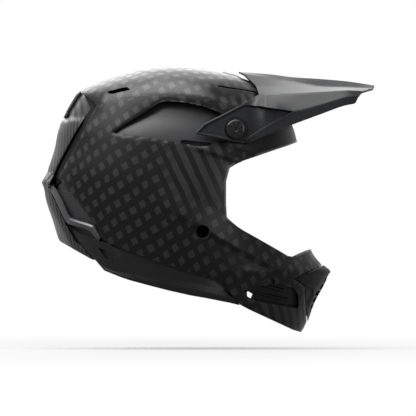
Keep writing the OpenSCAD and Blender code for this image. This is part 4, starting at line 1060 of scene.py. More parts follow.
def mouthRelief(x, z, y):
    # the nose facet stands over the sides, which are let in beside the posts
    h = chinPiece["noseHigh"] * smoothStep(-0.5, 0.9, insideDistance(x, z, noseEdge))
    sunk = smoothStep(-0.3, 1.0, insideDistance(x, z, cheekEdge)) * smoothStep(20, 30, np.abs(y))
    h -= chinPiece["cheekDeep"] * sunk
    return h - rolled(x, z, insertEdge, 1.4, 0.5)


def capsuleMesh(name, x0, x1, y0, y1, z, r):
    # flat bar with round ends along y, running in x
    half = np.linspace(-np.pi / 2, np.pi / 2, 10)
    t = np.concatenate([half, half + np.pi])
    cy = np.repeat([y1 - r, y0 + r], len(half))
    ends = [np.stack([np.full_like(t, x), cy + r * np.cos(t), z + r * np.sin(t)], -1) for x in (x0, x1)]
    return cappedMesh(name, np.stack(ends), [x0, cy.mean(), z], [x1, cy.mean(), z])


def slatCuts(x0, x1):
    # the round-ended slots between the slats, on each side of the post
    cuts = []
    for rise, half in zip(chinPiece["slatRise"], chinPiece["slatHalf"]):
        for s in (-1, 1):
            y0, y1 = sorted((s * chinPiece["post"], s * (chinPiece["half"] * half + chinPiece["slatR"])))
            cuts.append(capsuleMesh("slat", x0, x1, y0, y1, chinPiece["midZ"] + rise, chinPiece["slatR"]))
    return cuts


mouth = skinPiece("mouthGuard", (-1.15, 1.15, 14.2, 20.4), (360, 200), insertEdge, mouthRelief, seat)
flange = skinPiece("flange", (-1.2, 1.2, 13.6, 20.8), (160, 90), growOutline(insertEdge, 4.0), behind, seat)
carve(mouth, [("UNION", flange.data.copy())] + cut(*slatCuts(128, 200)))
bpy.data.objects.remove(flange)
finishPiece(mouth, "mouth_guard", "trimBlack", 30)
filterMesh = skinPiece("mouthFilter", (-0.42, 0.42, 14.4, 20.2), (110, 90), insertEdge, -5.0, -7.0, [],
                       (-33.0, 33.0))
finishPiece(filterMesh, "mouth_filter", "filterMesh")
gillPiece = {"bed": -3.4, "pocket": -4.4, "ribHigh": (2.6, 3.2, 2.8), "ribWide": (2.2, 1.9, 1.5)}
gillEdge = growOutline(shellEdges["gill"], 2.2)
gillLines = [sideMm(line) for line in ([(258, 283.2), (270, 287), (284, 290.6)],
                                       [(250, 290.6), (268, 295.6), (291, 300.6)],
                                       [(246, 297.6), (262, 301.6), (290, 307), (302, 309.6)])]
gillPocket = sideMm([(288.5, 286.4), (296, 289.6), (297.6, 307.6), (289.6, 305.8)])


def gillRelief(x, z, y):
    # three long ribs over a bed, and a deep pocket at the front
    h = np.full_like(x, gillPiece["bed"])
    for line, high, wide in zip(gillLines, gillPiece["ribHigh"], gillPiece["ribWide"]):
        d = np.abs(lineDistance(x, z, line))
        h = np.maximum(h, gillPiece["bed"] + high * (1 - smoothStep(wide * 0.4, wide, d)))
    return np.where(insideDistance(x, z, gillPocket) > 0, gillPiece["pocket"], h)


seatEdge = growOutline(insertEdge, 4.8)
gill = skinPiece("gillRight", (2 * math.pi - 1.45, 2 * math.pi - 0.3, 16.6, 20.0), (240, 110), gillEdge,
                 gillRelief, seat, [shellEdges["upperVent"], shellEdges["lowerVent"], seatEdge], rightHalf)
bothSides(gill, "gill", "gill", "trimBlack", 30)
print("stage: chin trim")

# eye port trim
bead = {"wide": 2.2, "proud": 0.8}
eyeOuter = growOutline(shellEdges["eye"], bead["wide"])


def beadRelief(x, z, y):
    # half round bead across its own width
    d = -insideDistance(x, z, shellEdges["eye"])
    t = np.clip(1 - np.abs(d - bead["wide"] / 2) / (bead["wide"] / 2), 0, 1)
    return bead["proud"] * np.sqrt(np.maximum(0, 1 - (1 - t) ** 2)) - 0.4


eyeTrim = skinPiece("eyeTrim", (-1.95, 1.95, 9.0, 14.9), (560, 210), eyeOuter, beadRelief, seat,
                    [shellEdges["eye"]])
finishPiece(eyeTrim, "eye_trim", "beadRubber")
grilleEdge = growOutline(shellEdges["topVent"], 1.6)
grilleBars = {"pitch": 3.2, "wide": 1.6, "top": -2.6, "floor": -4.0}


def grilleRelief(x, z, y):
    # bars along the vent, each where |(x mod pitch) - pitch / 2| < wide / 2
    onBar = np.abs((x % grilleBars["pitch"]) - grilleBars["pitch"] / 2) < grilleBars["wide"] / 2
    return np.where(onBar, grilleBars["top"], grilleBars["floor"])


grille = skinPiece("topGrilleRight", (math.pi + 0.1, 2 * math.pi - 0.1, 4.2, 7.4), (220, 60), grilleEdge,
                   grilleRelief, seat, [], rightHalf)
bothSides(grille, "topGrille", "top_grille", "deepBlack", shared=True)
print("stage: bead and grille")

# cheek ports
portPiece = {"bore": 7.0, "wall": 8.0, "flange": 8.6}
portY = float(formSide(portMm[0], portMm[1]))
prof = roundedProfile([(portPiece["bore"], portY - 6.4), (portPiece["flange"], portY - 6.4),
                       (portPiece["flange"], portY - 5.2), (portPiece["wall"], portY - 5.0),
                       (portPiece["wall"], portY - 0.2), (7.7, portY + 0.3),
                       (portPiece["bore"] + 0.25, portY - 0.5), (portPiece["bore"], portY - 1.2)], 0.3)
port = place("portGrommetRight", latheMesh("portGrommetRight", prof, portMm))
bothSides(port, "portGrommet", "port_grommet", "frameGrey", 40)

# visor
visorPiece = {
    "stations": [[(239.3, 71.8, 0), (243.7, 73.5, 12), (256, 85.6, 40), (259.3, 95, 66), (256, 106.5, 88),
                  (246, 144, 101)],
                 [(270, 74.3, 0), (270, 78.2, 12), (272, 86.2, 36), (273, 95, 66), (275, 109, 88),
                  (270, 134, 95)],
                 [(293, 77.2, 0), (293, 81.6, 12), (295, 86.8, 36), (295, 94.2, 67), (294, 111.7, 84),
                  (291.3, 124.3, 88)],
                 [(323, 79.2, 0), (323, 86, 12), (323, 87.4, 34), (322, 92.3, 66), (322, 104.5, 78),
                  (321, 113.2, 81)],
                 [(350, 81.7, 0), (350, 87.2, 12), (348, 88, 33), (346, 90.8, 64), (344, 98, 72),
                  (342, 105.5, 75)],
                 [(374.2, 85.5, 0), (372.5, 88.6, 12), (369, 89.4, 32), (362, 91.5, 58), (358, 96.5, 66),
                  (355, 103, 68)]],
    "thick": 2.0, "lengthSteps": 150, "railSteps": 14, "soft": 0.09}


def visorGrid():
    # rails run through the stations; between rails the deck is straight with softened creases
    st = np.array(visorPiece["stations"], float)
    rows = cubicRows(st, np.linspace(0, len(st) - 1, visorPiece["lengthSteps"]))
    k = st.shape[1] - 1
    out = []
    soft = visorPiece["soft"]
    for v in np.linspace(-k, k, 2 * k * visorPiece["railSteps"] + 1):
        w = abs(v)
        j = int(min(np.floor(w), k - 1))
        f = w - j
        p = rows[:, j] * (1 - f) + rows[:, j + 1] * f
        near = int(round(w))
        if abs(w - near) < soft and 0 < near < k:
            q = (w - near + soft) / (2 * soft)
            a = rows[:, near - 1] * soft + rows[:, near] * (1 - soft)
            c = rows[:, near + 1] * soft + rows[:, near] * (1 - soft)
            p = (1 - q) ** 2 * a + 2 * q * (1 - q) * rows[:, near] + q * q * c
        out.append(np.stack([mmX(p[:, 0]), np.sign(v) * p[:, 2], mmZ(p[:, 1])], -1))
    return np.stack(out, 1)


top = visorGrid()
# normal = cross product of the two neighbour differences
nrm = unitRows(np.cross(np.gradient(top, axis=0), np.gradient(top, axis=1)))
if nrm[..., 2].mean() < 0:
    nrm = -nrm
visor = place("visor", slabMesh("visor", top, top - nrm * visorPiece["thick"], 0.5))
armPiece = {
    "outline": [(195.3, 133.3), (203.9, 124.3), (213, 119.6), (222.5, 115.0), (232, 110), (241, 105.2),
                (250, 100), (258.6, 95), (270, 95), (284, 95), (294.6, 94.9), (297, 110), (296, 112),
                (290, 115.6), (280, 121.4), (270, 127), (262, 131.6), (253, 137.4), (244.6, 143.6),
                (236, 142.4), (226, 140.6), (216, 138.6), (208, 136.8), (196.7, 134.8)],
    "field": [(198.2, 133.2), (205, 126), (222.5, 117), (241, 107.4), (244.6, 106.2), (249.4, 105.6),
              (262, 107.2), (278, 109.6), (293, 111.9), (286, 115.4), (276, 121), (262, 129.4),
              (252, 135.8), (243.8, 141.6), (236, 140.6), (216, 136.8)],
    "proud": 6.4, "most": 118.5, "rimDrop": 1.6, "deep": 5.2, "wall": 1.9, "blendFrom": 246.0,
    "blendTo": 266.0,
    "grid": (330, 170)}
armEdge, fieldEdge = sideMm(armPiece["outline"]), sideMm(armPiece["field"])


def wallOf(x, z):
    # y of the visor's side wall over the side view: rows cut at even heights, then read along their length
    part = top[:, top.shape[1] // 2 + 2 * visorPiece["railSteps"]:]
    levels = np.linspace(z.min(), z.max(), 120)
    atX = np.stack([np.interp(-levels, -r[:, 2], r[:, 0]) for r in part], 0)
    atY = np.stack([np.interp(-levels, -r[:, 2], np.abs(r[:, 1])) for r in part], 0)
    rows = np.stack([np.interp(x[0], atX[:, i], atY[:, i]) for i in range(len(levels))], 0)
    k = (z[:, 0] - levels[0]) / (levels[1] - levels[0])
    i = np.clip(np.floor(k).astype(int), 0, len(levels) - 2)
    t = (k - i)[:, None]
    return rows[i] * (1 - t) + rows[i + 1] * t


def armSkin():
    # y = wall blended into the form and its stand-off, less the field that is let in behind the rim
    nx, nz = armPiece["grid"]
    lo, hi = armEdge.min(0) - 2, armEdge.max(0) + 2
    z, x = np.meshgrid(np.linspace(lo[1], hi[1], nz), np.linspace(lo[0], hi[0], nx), indexing="ij")
    px = sheetX(x)
    blend = smoothStep(armPiece["blendFrom"], armPiece["blendTo"], px)
    y = (formSide(x, z) + armPiece["proud"]) * (1 - blend) + (wallOf(x, z) + 0.3) * blend
    depth = armPiece["rimDrop"] + (armPiece["deep"] - armPiece["rimDrop"]) * smoothStep(244, 268, px)
    y = y - depth * smoothStep(0.0, 0.9, insideDistance(x, z, fieldEdge))
    y = y - rolled(x, z, armEdge, 1.2, 0.5) * (px < 262)
    return np.stack([x, -np.minimum(y, armPiece["most"]), z], -1)


skin = armSkin()
fieldOut = -insideDistance(skin[..., 0], skin[..., 2], fieldEdge)
wallHere = armPiece["wall"] + 0.6 * smoothStep(0.2, 1.4, fieldOut)
back = skin + np.array([0, 1, 0]) * wallHere[..., None]
arm = place("arm", slabMesh("arm", skin, back))
carve(arm, [("INTERSECT", prismMesh("armEdge", armEdge, -130.0, -40.0))])
armTwin = mirrored(arm, "armTwin")
hubPiece = {"y": 100.34, "thick": 4.48, "r": 13.0, "bore": 6.05, "headRoom": 12.7, "bossRoom": 13.6}
hubY, hubTop = hubPiece["y"], hubPiece["y"] + hubPiece["thick"]


def sidePrisms(outline, y0, y1):
    # the same prism on the right and on the left, between two distances from the middle plane
    return [prismMesh("side", outline, *span) for span in ((-y1, -y0), (y0, y1))]


windowMm = growOutline(fieldEdge, 0.3)
joined = [arm.data.copy(), armTwin.data.copy()] + sidePrisms(discAt(screwMm, hubPiece["r"]), hubY, hubTop)
carve(visor, cut(*sidePrisms(windowMm, 62.0, 130.0)) + [("UNION", me) for me in joined])
for key, y0, y1 in (("bossRoom", 60.0, hubY), ("bore", 60.0, 140.0), ("headRoom", hubTop, 140.0)):
    carve(visor, cut(*sidePrisms(discAt(screwMm, hubPiece[key]), y0, y1)))
for o in (arm, armTwin):
    bpy.data.objects.remove(o)
visor.name = "visorPeak"
finishPiece(visor, "visor", "visorSatin", 32, "visor")
print("stage: visor")

# screws and their bearings
screwPiece = {"head": 10.5, "shank": 4.0, "headY": 105.81, "headT": 4.2, "bossY": 98.99, "bossDepth": 8.0,
              "slots": 8}
hy, by = screwPiece["headY"], screwPiece["bossY"]
headR, shankR, nutY = screwPiece["head"], screwPiece["shank"], by - screwPiece["bossDepth"]
# dome height = headT * (1 + sqrt(1 - (r / head)^2.4)) / 2
domeR = np.linspace(headR - 0.1, 2.6, 14)
domeY = hy + screwPiece["headT"] * (0.5 + 0.5 * np.sqrt(1 - (domeR / headR) ** 2.4))
screwProfile = ([(0.02, nutY), (shankR - 0.4, nutY), (shankR, nutY + 0.4), (shankR, hy), (headR - 0.4, hy),
                 (headR, hy + 0.4), (headR, hy + 1.9)] + list(zip(domeR, domeY))
                + [(2.3, hy + 3.9), (2.1, hy + 2.3), (0.02, hy + 2.2)])
screw = place("visorScrewRight", latheMesh("visorScrewRight", screwProfile, screwMm))
slots = []
for i in range(screwPiece["slots"]):
    a = i * 2 * math.pi / screwPiece["slots"] + 0.3
    c, s = math.cos(a), math.sin(a)
    r1, w1 = (9.9, 1.0) if i % 2 else (8.2, 0.7)
    o = [(r * c - w * s, r * s + w * c) for r, w in ((3.4, 0.5), (r1, w1), (r1, -w1), (3.4, -0.5))]
    slots.append(prismMesh("slot", screwMm + np.array(o), -(hy + 6), -(hy + 1.9)))
carve(screw, cut(*slots))
twin = mirrored(screw, "visorScrewLeft")
finishPiece(screw, "visor_screw_right", "glossBlack", 35, "screw_right")
finishPiece(twin, "visor_screw_left", "glossBlack", 35, "screw_left")
boreR = shankR + 0.06
bushProfile = [(boreR, hubY), (6.0, hubY), (6.0, hubTop), (8.0, hubTop), (8.0, hubTop + 0.84),
               (boreR, hubTop + 0.84)]
washProfile = [(4.4, by), (11.0, by), (11.0, by + 1.2), (4.4, by + 1.2)]
nutProfile = [(boreR, nutY - 1.2), (7.6, nutY - 1.2), (7.6, nutY), (6.6, nutY), (6.6, by), (boreR, by)]
bearingPieces = [("visorBushing", bushProfile, "visor_bushing", "frameGrey", "visor"),
                 ("visorWasher", washProfile, "visor_washers", "beadRubber", "helmet"),
                 ("threadInsert", nutProfile, "thread_inserts", "brassMetal", "helmet")]
for stem, profile, node, finish, body in bearingPieces:
    ob = place(stem, latheMesh(stem, roundedProfile(profile, 0.2), screwMm))
    bothSides(ob, stem, node, finish, 40, body, body == "helmet")
bossProfile = roundedProfile([(6.8, nutY), (13.1, nutY), (13.1, by), (6.8, by)], 0.4)
boss = place("bossRight", latheMesh("boss", bossProfile, screwMm))
for ob in (boss, mirrored(boss, "bossLeft")):
    finishPiece(ob, None, "trimBlack", 40)
print("stage: screws")


# foam and liner
headPiece = {"long": 106.0, "wide": 86.0, "high": 100.0, "cavityZ": -170.0,
             "socketR": 122.0, "socketZ": -8.13, "slipR": 121.3, "slipZ": 70.0,
             "pinR": 4.5, "pinZ": 80.8, "pinReach": 82.49, "bearings": (40, 140, 220, 320),
             "grooves": (-0.62, -0.3, 0.3, 0.62), "grooveR": 7.2}


def ringsMesh(name, halfX, halfY, z, steps, top):
    # closed solid of level ellipses, flat below and ending in a point at the height top
    ang = np.linspace(0, 2 * np.pi, steps, endpoint=False)
    x, y = halfX[:, None] * np.cos(ang), halfY[:, None] * np.sin(ang)
    grid = np.stack([x, y, np.broadcast_to(z[:, None], x.shape)], -1)
    return cappedMesh(name, grid, [0, 0, z[0]], [0, 0, top])


def cavityMesh():
    # half ellipsoid on an elliptic tube: radius share sqrt(1 - (z / high)^2) above the middle, 1 below
    t = np.linspace(0, np.pi / 2, 30)[1:-1]
    z = np.concatenate([[headPiece["cavityZ"], -80.0, 0.0], headPiece["high"] * np.sin(t)])
    share = np.concatenate([[1.0, 1.0, 1.0], np.cos(t)])
    return ringsMesh("cavity", headPiece["long"] * share, headPiece["wide"] * share, z, 96,
                     headPiece["high"])


def domeMesh(name, r, low):
    # cap of a sphere above a level
    t = np.linspace(math.asin((low - headPiece["socketZ"]) / r), np.pi / 2, 26)[:-1]
    wide = r * np.cos(t)
    return ringsMesh(name, wide, wide, headPiece["socketZ"] + r * np.sin(t), 120, headPiece["socketZ"] + r)


foamPiece = {
    "outline": [(30, 60), (30, 190), (60, 232), (96, 254), (130, 269), (170, 281.5), (223, 293.5),
                (223, 220), (221, 212), (221, 172), (231, 162.5), (275, 145.5), (291, 139), (291, 60)],
    "chin": [(236, 231), (262, 246), (280, 256.5), (290.5, 262.5), (300, 260.5), (316, 269.5), (312, 284),
             (302, 322), (298, 326), (262, 309), (236, 297)],
    "strapY": 87.1, "boltX": 21.9, "boltZ": -67.1, "room": 24.0, "foot": -118.8, "swing": 10.2,
    "top": -4.85, "panelRoom": 5.6}
boltMm = np.array([foamPiece["boltX"], foamPiece["boltZ"]])


def foamRelief(x, z, y):
    # a layer under the form, lower at the tail and behind the intake panels
    h = foamPiece["top"] - lowered(z) * (x < -60)
    return h - foamPiece["panelRoom"] * (insideDistance(x, z, panelEdge) > -0.8)


foam = place("outerFoam", loftMesh("outerFoam", foamRelief, 340, 150))


def pinLine(bearing, r0, r1):
    # straight line outward at the height of the anchors
    a = math.radians(bearing)
    return [(r * math.cos(a), r * math.sin(a), headPiece["pinZ"]) for r in np.linspace(r0, r1, 8)]


def swingSlot(bearing, reach):
    # room for an anchor's end along its arc
    a = np.radians(bearing + np.linspace(-foamPiece["swing"], foamPiece["swing"], 11))
    path = np.stack([reach * np.cos(a), reach * np.sin(a), np.full(11, headPiece["pinZ"])], -1)
    return tubeMesh("slot", path, headPiece["pinR"] + 1.6, 14)


channel = rectangle(foamPiece["boltX"] - foamPiece["room"] * 0.5, foamPiece["foot"],
                    foamPiece["boltX"] + foamPiece["room"] * 0.7, foamPiece["boltZ"] + 11)
rooms = [cavityMesh(), domeMesh("socket", headPiece["socketR"], headPiece["slipZ"] - 0.3)]
rooms += [swingSlot(a, headPiece["pinReach"] + out) for a in headPiece["bearings"] for out in (5.2, 1.0)]
for outline, y0, y1 in ((discAt(screwMm, 13.6), 84.0, 130.0), (discAt(portMm, 8.9), 40.0, 130.0),
                        (discAt(boltMm, 3.4), 40.0, 130.0), (channel, 20.0, foamPiece["strapY"] + 1.9)):
    rooms += sidePrisms(outline, y0, y1)
carve(foam, [("INTERSECT", prismMesh("edge", sideMm(foamPiece["outline"])))] + cut(*rooms))
finishPiece(foam, "outer_foam", "foam")
eyeHole = sideMm([(246.8, 291.4), (250, 290.2), (252.8, 294.4), (250.4, 299.4), (247, 297)])
chin = skinPiece("chinFoam", (-1.5, 1.5, 12.6, 20.6), (300, 150), sideMm(foamPiece["chin"]), -4.95, -15.6,
                 [eyeHole])
slatBox = prismMesh("gap", rectangle(120, -127.6, 200, -92.6), -26.6, 26.6)
carve(chin, cut(slatBox, prismMesh("seat", seatEdge), cavityMesh()))
finishPiece(chin, "chin_foam", "foam")
print("stage: foam")
liner = place("slipLiner", domeMesh("slipLiner", headPiece["slipR"], headPiece["slipZ"]))
tools = [cavityMesh()]
grooveX = np.linspace(-0.72, 0.72, 15) * headPiece["long"]
for k in headPiece["grooves"]:
    height = headPiece["high"] * (1.02 - 0.5 * k * k)
    path = np.stack([grooveX, np.full(15, k * headPiece["wide"]), np.full(15, height)], -1)
    tools.append(tubeMesh("groove", path, headPiece["grooveR"], 20))
for a in headPiece["bearings"]:
    path = pinLine(a, headPiece["pinReach"] - 9.2, headPiece["pinReach"] + 12)
    tools.append(tubeMesh("pin", path, headPiece["pinR"] + 0.1, 20))
carve(liner, cut(*tools))
finishPiece(liner, "slip_liner", "slipFoam", 35, "inner_liner")
# radii along an anchor: two heads and a waist between them
waist = np.array([3.9, 4.45, 4.45, 3.6, 3.3, 3.6, 4.45, 3.9])
pins = [tubeMesh("pin", pinLine(a, headPiece["pinReach"] - 8.9, headPiece["pinReach"] + 8.9), waist, 20)
        for a in headPiece["bearings"]]
pins = place("slipAnchors", joinMeshes("slipAnchors", pins))
finishPiece(pins, "slip_anchors", "anchorRubber", 35, "inner_liner")
print("stage: liner")

# pads: crowned cushions, thick in the middle, with sewn channels and a welt round the edge
padPiece = {"seam": 0.045, "seamDepth": 0.42, "welt": 0.05, "wrinkle": 0.012}


def squircle(n, m, pull=0.05):
    # square grid with rounded corners whose sides pull in between them
    u, v = np.meshgrid(np.linspace(-1, 1, n), np.linspace(-1, 1, m), indexing="ij")
    x = u * np.sqrt(1 - 0.22 * v * v) * (1 - pull * (1 - v * v) ** 2 * np.abs(u))
    y = v * np.sqrt(1 - 0.22 * u * u) * (1 - pull * (1 - u * u) ** 2 * np.abs(v))
    return u, v, x, y


def cushion(u, v, seamsU=(), seamsV=()):
    # share of the thickness: (1 - r^7)^0.55, cut by seams exp(-(d / width)^2) and wrinkled beside them
    r = np.clip(np.maximum(np.abs(u), np.abs(v)), 0, 1)
    e = (1 - r ** 7) ** 0.55
    sunk, wrinkle = np.zeros_like(u), np.zeros_like(u)
    for lines, a, b in ((seamsU, u, v), (seamsV, v, u)):
        for s in lines:
            d = np.abs(a - s)
            sunk = np.maximum(sunk, np.exp(-(d / padPiece["seam"]) ** 2))
            wrinkle += np.exp(-(d / 0.16) ** 2) * np.sin(b * 61 + 3 * np.sin(b * 17 + s * 9)) * 0.5
    wrinkle += np.exp(-((1 - r) / 0.1) ** 2) * np.sin((u * 47 + v * 43) + 2 * np.sin(u * 13 - v * 11)) * 0.6
    welt = np.exp(-((1 - r - padPiece["welt"]) / 0.018) ** 2) * 0.06
    return e * (1 - padPiece["seamDepth"] * sunk) + padPiece["wrinkle"] * wrinkle * e - welt


def padOf(name, lay, seamsU, seamsV, low, high, n, m, pull=0.04):
    # cushion between the layers low and high of a wall function lay(x share, y share, thickness)
    u, v, x, y = squircle(n, m, pull)
    k = cushion(u, v, seamsU, seamsV)
    outer = lay(x, y, low + (high - low) * np.maximum(k, 0.02))
    inner = lay(x, y, np.full_like(k, low))
    return place(name, slabMesh(name, outer, inner, 0.35))


def crownLay(u, v, t):
    # directions 40 degrees to each side of straight up, met with the cavity less the thickness t
    a, b = np.radians(40 * u), np.radians(40 * v)
    x, y = np.tan(a) * (1 - 0.16 * v * v), np.tan(b) * (1 - 0.16 * u * u)
    d = unitRows(np.stack([x, y, np.ones_like(a)], -1))
    return d * np.stack([headPiece[key] - t for key in ("long", "wide", "high")], -1)


def wallLay(middle, reach, low, high, sphere):
    # places on the cavity's wall round a bearing, narrowed by sqrt(1 - (z / high)^2) where it is domed
    def lay(u, v, t):
        a = np.radians(middle + reach * u)
        z = low + (high - low) * (v + 1) / 2
        s = np.sqrt(1 - (z / headPiece["high"]) ** 2) if sphere else 1.0
        x, y = (headPiece["long"] - t) * s * np.cos(a), (headPiece["wide"] - t) * s * np.sin(a)
        return np.stack([x, y, z], -1)
    return lay


# shares of the whole helmet, and where the head's centre lies in it
whole = {"length": 322.0, "half": 121.0, "height": 297.0, "midX": 0.4464, "midZ": 0.5183}
cheekRows = np.array([[0.3072, 0.3108, 0.4806], [0.3768, 0.2429, 0.5447], [0.4638, 0.2127, 0.5786],
                      [0.5508, 0.1939, 0.59], [0.6134, 0.1826, 0.5145], [0.6691, 0.1788, 0.3787]])


def cheekLay(u, v, t):
    # rows give x, the lower and the upper end; y = wide * sqrt(1 - (x / long)^2) - t
    r = cubicRows(cheekRows, (u + 1) / 2 * (len(cheekRows) - 1))
    x = (r[..., 0] - whole["midX"]) * whole["length"]
    z = (r[..., 1] + (r[..., 2] - r[..., 1]) * (v + 1) / 2 - whole["midZ"]) * whole["height"]
    wall = headPiece["wide"] * np.sqrt(np.maximum(0, 1 - (x / headPiece["long"]) ** 2))
    return np.stack([x, wall - t, z], -1)


crown = padOf("crownPad", crownLay, (-0.36, 0.36), (-0.36, 0.36), 0.95, 7.7, 150, 150)
brow = padOf("browPad", wallLay(0, 52, 44.3, 68.0, True), (-0.62, -0.21, 0.21, 0.62), (), 2.2, 8.7, 220, 60)
neck = padOf("neckRoll", wallLay(180, 62, -61.8, -34.2, False), (-0.5, 0, 0.5), (0.1,), 1.0, 9.7, 240, 70)
cheek = padOf("cheekPadLeft", cheekLay, (-0.3, 0.34), (0.1,), 3.95, 23.8, 150, 140, 0.03)
pads = [(crown, "inner_liner", "crown_pad", 0.55), (brow, "helmet", "brow_pad", 0.55),
        (neck, "helmet", "neck_roll", 0.6), (cheek, "helmet", "cheek_pad_left", 0.7),
        (mirrored(cheek, "cheekPadRight"), "helmet", "cheek_pad_right", 0.7)]
for ob, body, node, fill in pads:
    finishPiece(ob, node, "padCloth", 50, body)
x, y = squircle(80, 60, 0.0)[2:]
faces = [cheekLay(x * 0.88, y * 0.88, np.full_like(x, t)) for t in (3.2, 1.5)]
plate = place("cheekPlateLeft", slabMesh("cheekPlateLeft", *faces, 0.4))
for ob, node in ((plate, "cheek_plate_left"), (mirrored(plate, "cheekPlateRight"), "cheek_plate_right")):
    finishPiece(ob, node, "trimBlack", 40)
print("stage: pads")

# chin strap
strapPiece = {"wide": 22.0, "thick": 1.7, "steps": 150,
              "short": [(0.068, 0.72, -0.215), (0.07, 0.72, -0.26), (0.074, 0.72, -0.305),
                        (0.082, 0.68, -0.338), (0.092, 0.6, -0.353), (0.1, 0.5, -0.361),
                        (0.103, 0.4, -0.3645)],
              "long": [(0.068, -0.72, -0.215), (0.07, -0.72, -0.26), (0.074, -0.72, -0.305),
                       (0.082, -0.68, -0.338), (0.092, -0.6, -0.353), (0.1, -0.45, -0.364),
                       (0.106, -0.2, -0.3705), (0.106, 0.0, -0.372), (0.106, 0.2, -0.3715),
                       (0.104, 0.3, -0.3707)]}


def ribbonMesh(name, rows):
    # flat band of one width: across its path the edge is a little thicker, as a woven selvedge is
    p = np.array(rows) * [whole["length"], whole["half"], whole["height"]]
    c = cubicRows(p, np.linspace(0, len(p) - 1, strapPiece["steps"]))
    tan = unitRows(np.gradient(c, axis=0))
    across = unitRows(np.array([1.0, 0, 0]) - tan * tan[:, :1])
    nor = np.cross(tan, across)
    w = np.linspace(-1, 1, 25)
    thick = strapPiece["thick"] / 2 * (0.86 + 0.14 * np.abs(w) ** 8)
    mid = c[:, None] + across[:, None] * (w * (strapPiece["wide"] / 2 - 0.4))[None, :, None]
    lift = nor[:, None] * thick[None, :, None]
    length = float(np.linalg.norm(np.diff(c, axis=0), axis=1).sum())
    return slabMesh(name, mid + lift, mid - lift, 0.4), length


for name, node, key in (("strapShort", "strap_short", "short"), ("strapLong", "strap_long", "long")):
    me, length = ribbonMesh(name, strapPiece[key])
    ob = place(name, me)
    carve(ob, cut(*sidePrisms(discAt(boltMm, 3.3), 60.0, 120.0)))
    finishPiece(ob, node, "webbing", 40)
    print("  strap", name, round(length, 1))
# each ring is a bow, half an ellipse, closed by a straight bar
ringPiece = {"wire": 1.68, "inside": 11.0, "bow": 0.8, "lift": 3.315, "lean": 0.24,
             "at": (0.103, 0.39, -0.3554)}
reach = ringPiece["inside"] + 1.7
a = np.radians(np.linspace(-90, 90, 40))
bow = np.stack([reach * np.sin(a), ringPiece["bow"] * reach * np.cos(a)], -1)
bar = np.stack([np.linspace(reach, -reach, 22)[1:-1], np.zeros(20)], -1)
loop = roundLine(np.concatenate([bow, bar]), 1.2, 3, True)[:-1]
loop = np.stack([loop[:, 0], -loop[:, 1] * 0.97, loop[:, 1] * ringPiece["lean"]], -1)
middle = np.array(ringPiece["at"]) * [whole["length"], whole["half"], whole["height"]]
rings = [tubeMesh("ring", middle + [0, 0, lift] + loop, ringPiece["wire"], 14, True)
         for lift in (0.0, ringPiece["lift"])]
rings = place("dRings", joinMeshes("dRings", rings))
finishPiece(rings, "d_rings", "ringMetal", 60)
boltY = float(formSide(foamPiece["boltX"], foamPiece["boltZ"])) - 5.0
sy = foamPiece["strapY"]
boltProfile = roundedProfile([(1.5, sy - 1.98), (6.0, sy - 1.98), (6.0, sy - 1.08), (3.0, sy - 1.08),
                              (3.0, boltY), (0.05, boltY), (0.05, sy), (1.5, sy)], 0.2)
bolt = place("strapAnchor", latheMesh("strapAnchor", boltProfile, boltMm, 48))
bothSides(bolt, "strapAnchor", "strap_anchors", "ringMetal", 40, shared=True)
print("stage: strap")

# floor and light
bpy.context.scene.view_settings.view_transform = "Standard"
light = {"topPower": 150.0, "backPower": 23.0, "sidePower": 2.0, "frontPower": 14.0, "floorZ": -0.172,
         "floorReach": 6.0, "shadeX": -0.02, "shadeWide": 0.3, "shadeDeep": 0.9, "shade": 0.5,
         "world": (0.45, 0.45, 0.46, 1)}
floorMesh = bpy.data.meshes.new("floor")
corners = rectangle(-light["floorReach"], -light["floorReach"], light["floorReach"], light["floorReach"])
floorMesh.from_pydata([(x, y, light["floorZ"]) for x, y in corners], [], [(0, 1, 2, 3)])
floor = place("floor", floorMesh)
fm = bpy.data.materials.new("floorWhite")
fm.use_nodes = True
ft = fm.node_tree
ft.nodes.clear()


def seenOf(tree):
    # 1 where the camera looks, straight or by way of gloss or glass
    path = nodeOf(tree, "ShaderNodeLightPath").outputs
    straight = mathOf(tree, "MAXIMUM", path["Is Camera Ray"], path["Is Glossy Ray"])
    return mathOf(tree, "MAXIMUM", straight, path["Is Transmission Ray"])


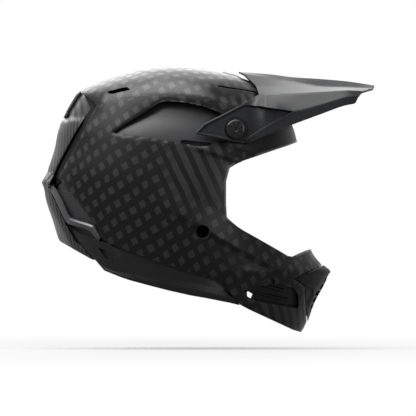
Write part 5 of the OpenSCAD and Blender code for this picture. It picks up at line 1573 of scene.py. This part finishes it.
# the floor shows white, less shade * exp(-(x / wide)^2 - (y / deep)^2) of its lit shade near the object
x, y = partsOf(ft, nodeOf(ft, "ShaderNodeTexCoord").outputs["Object"])[:2]
dx = mathOf(ft, "DIVIDE", minus(ft, x, light["shadeX"]), light["shadeWide"])
dy = mathOf(ft, "DIVIDE", y, light["shadeDeep"])
far = plus(ft, times(ft, dx, dx), times(ft, dy, dy))
share = times(ft, mathOf(ft, "EXPONENT", times(ft, far, -1.0)), light["shade"])
flat = nodeOf(ft, "ShaderNodeBsdfDiffuse", {"Color": (0.16, 0.16, 0.16, 1)})
glow = nodeOf(ft, "ShaderNodeEmission", {"Color": (1, 1, 1, 1), "Strength": 1.0})
mix = nodeOf(ft, "ShaderNodeMixShader", {"Fac": times(ft, seenOf(ft), minus(ft, 1.0, share)),
                                         1: flat.outputs[0], 2: glow.outputs[0]})
nodeOf(ft, "ShaderNodeOutputMaterial", {"Surface": mix.outputs[0]})
floorMesh.materials.append(fm)
world = bpy.data.worlds.new("studio")
bpy.context.scene.world = world
world.use_nodes = True
wt = world.node_tree
feed(wt, wt.nodes["Background"], {"Color": mixOf(wt, seenOf(wt), light["world"], (1, 1, 1, 1))})


def softLamp(name, spot, aimAt, size, power):
    # rectangular lamp of size metres at spot, turned to aimAt
    lamp = bpy.data.lights.new(name, "AREA")
    lamp.shape, lamp.size, lamp.size_y, lamp.energy = "RECTANGLE", size[0], size[1], power
    ob = bpy.data.objects.new(name, lamp)
    bpy.context.scene.collection.objects.link(ob)
    ob.location = spot
    ob.rotation_euler = (Vector(aimAt) - Vector(spot)).to_track_quat("-Z", "Y").to_euler()


softLamp("topLamp", (-0.5, -0.25, 1.25), (-0.15, -0.05, 0.05), (1.3, 2.1), light["topPower"])
softLamp("backLamp", (-0.3, 1.5, 1.0), (0, 0, 0.05), (1.4, 1.4), light["backPower"])
softLamp("sideLamp", (-0.4, -2.2, 1.2), (0, 0, 0), (0.9, 0.9), light["sidePower"])
softLamp("frontLamp", (1.3, -1.5, 0.25), (0.05, 0, 0), (0.9, 0.9), light["frontPower"])
print("stage: done")
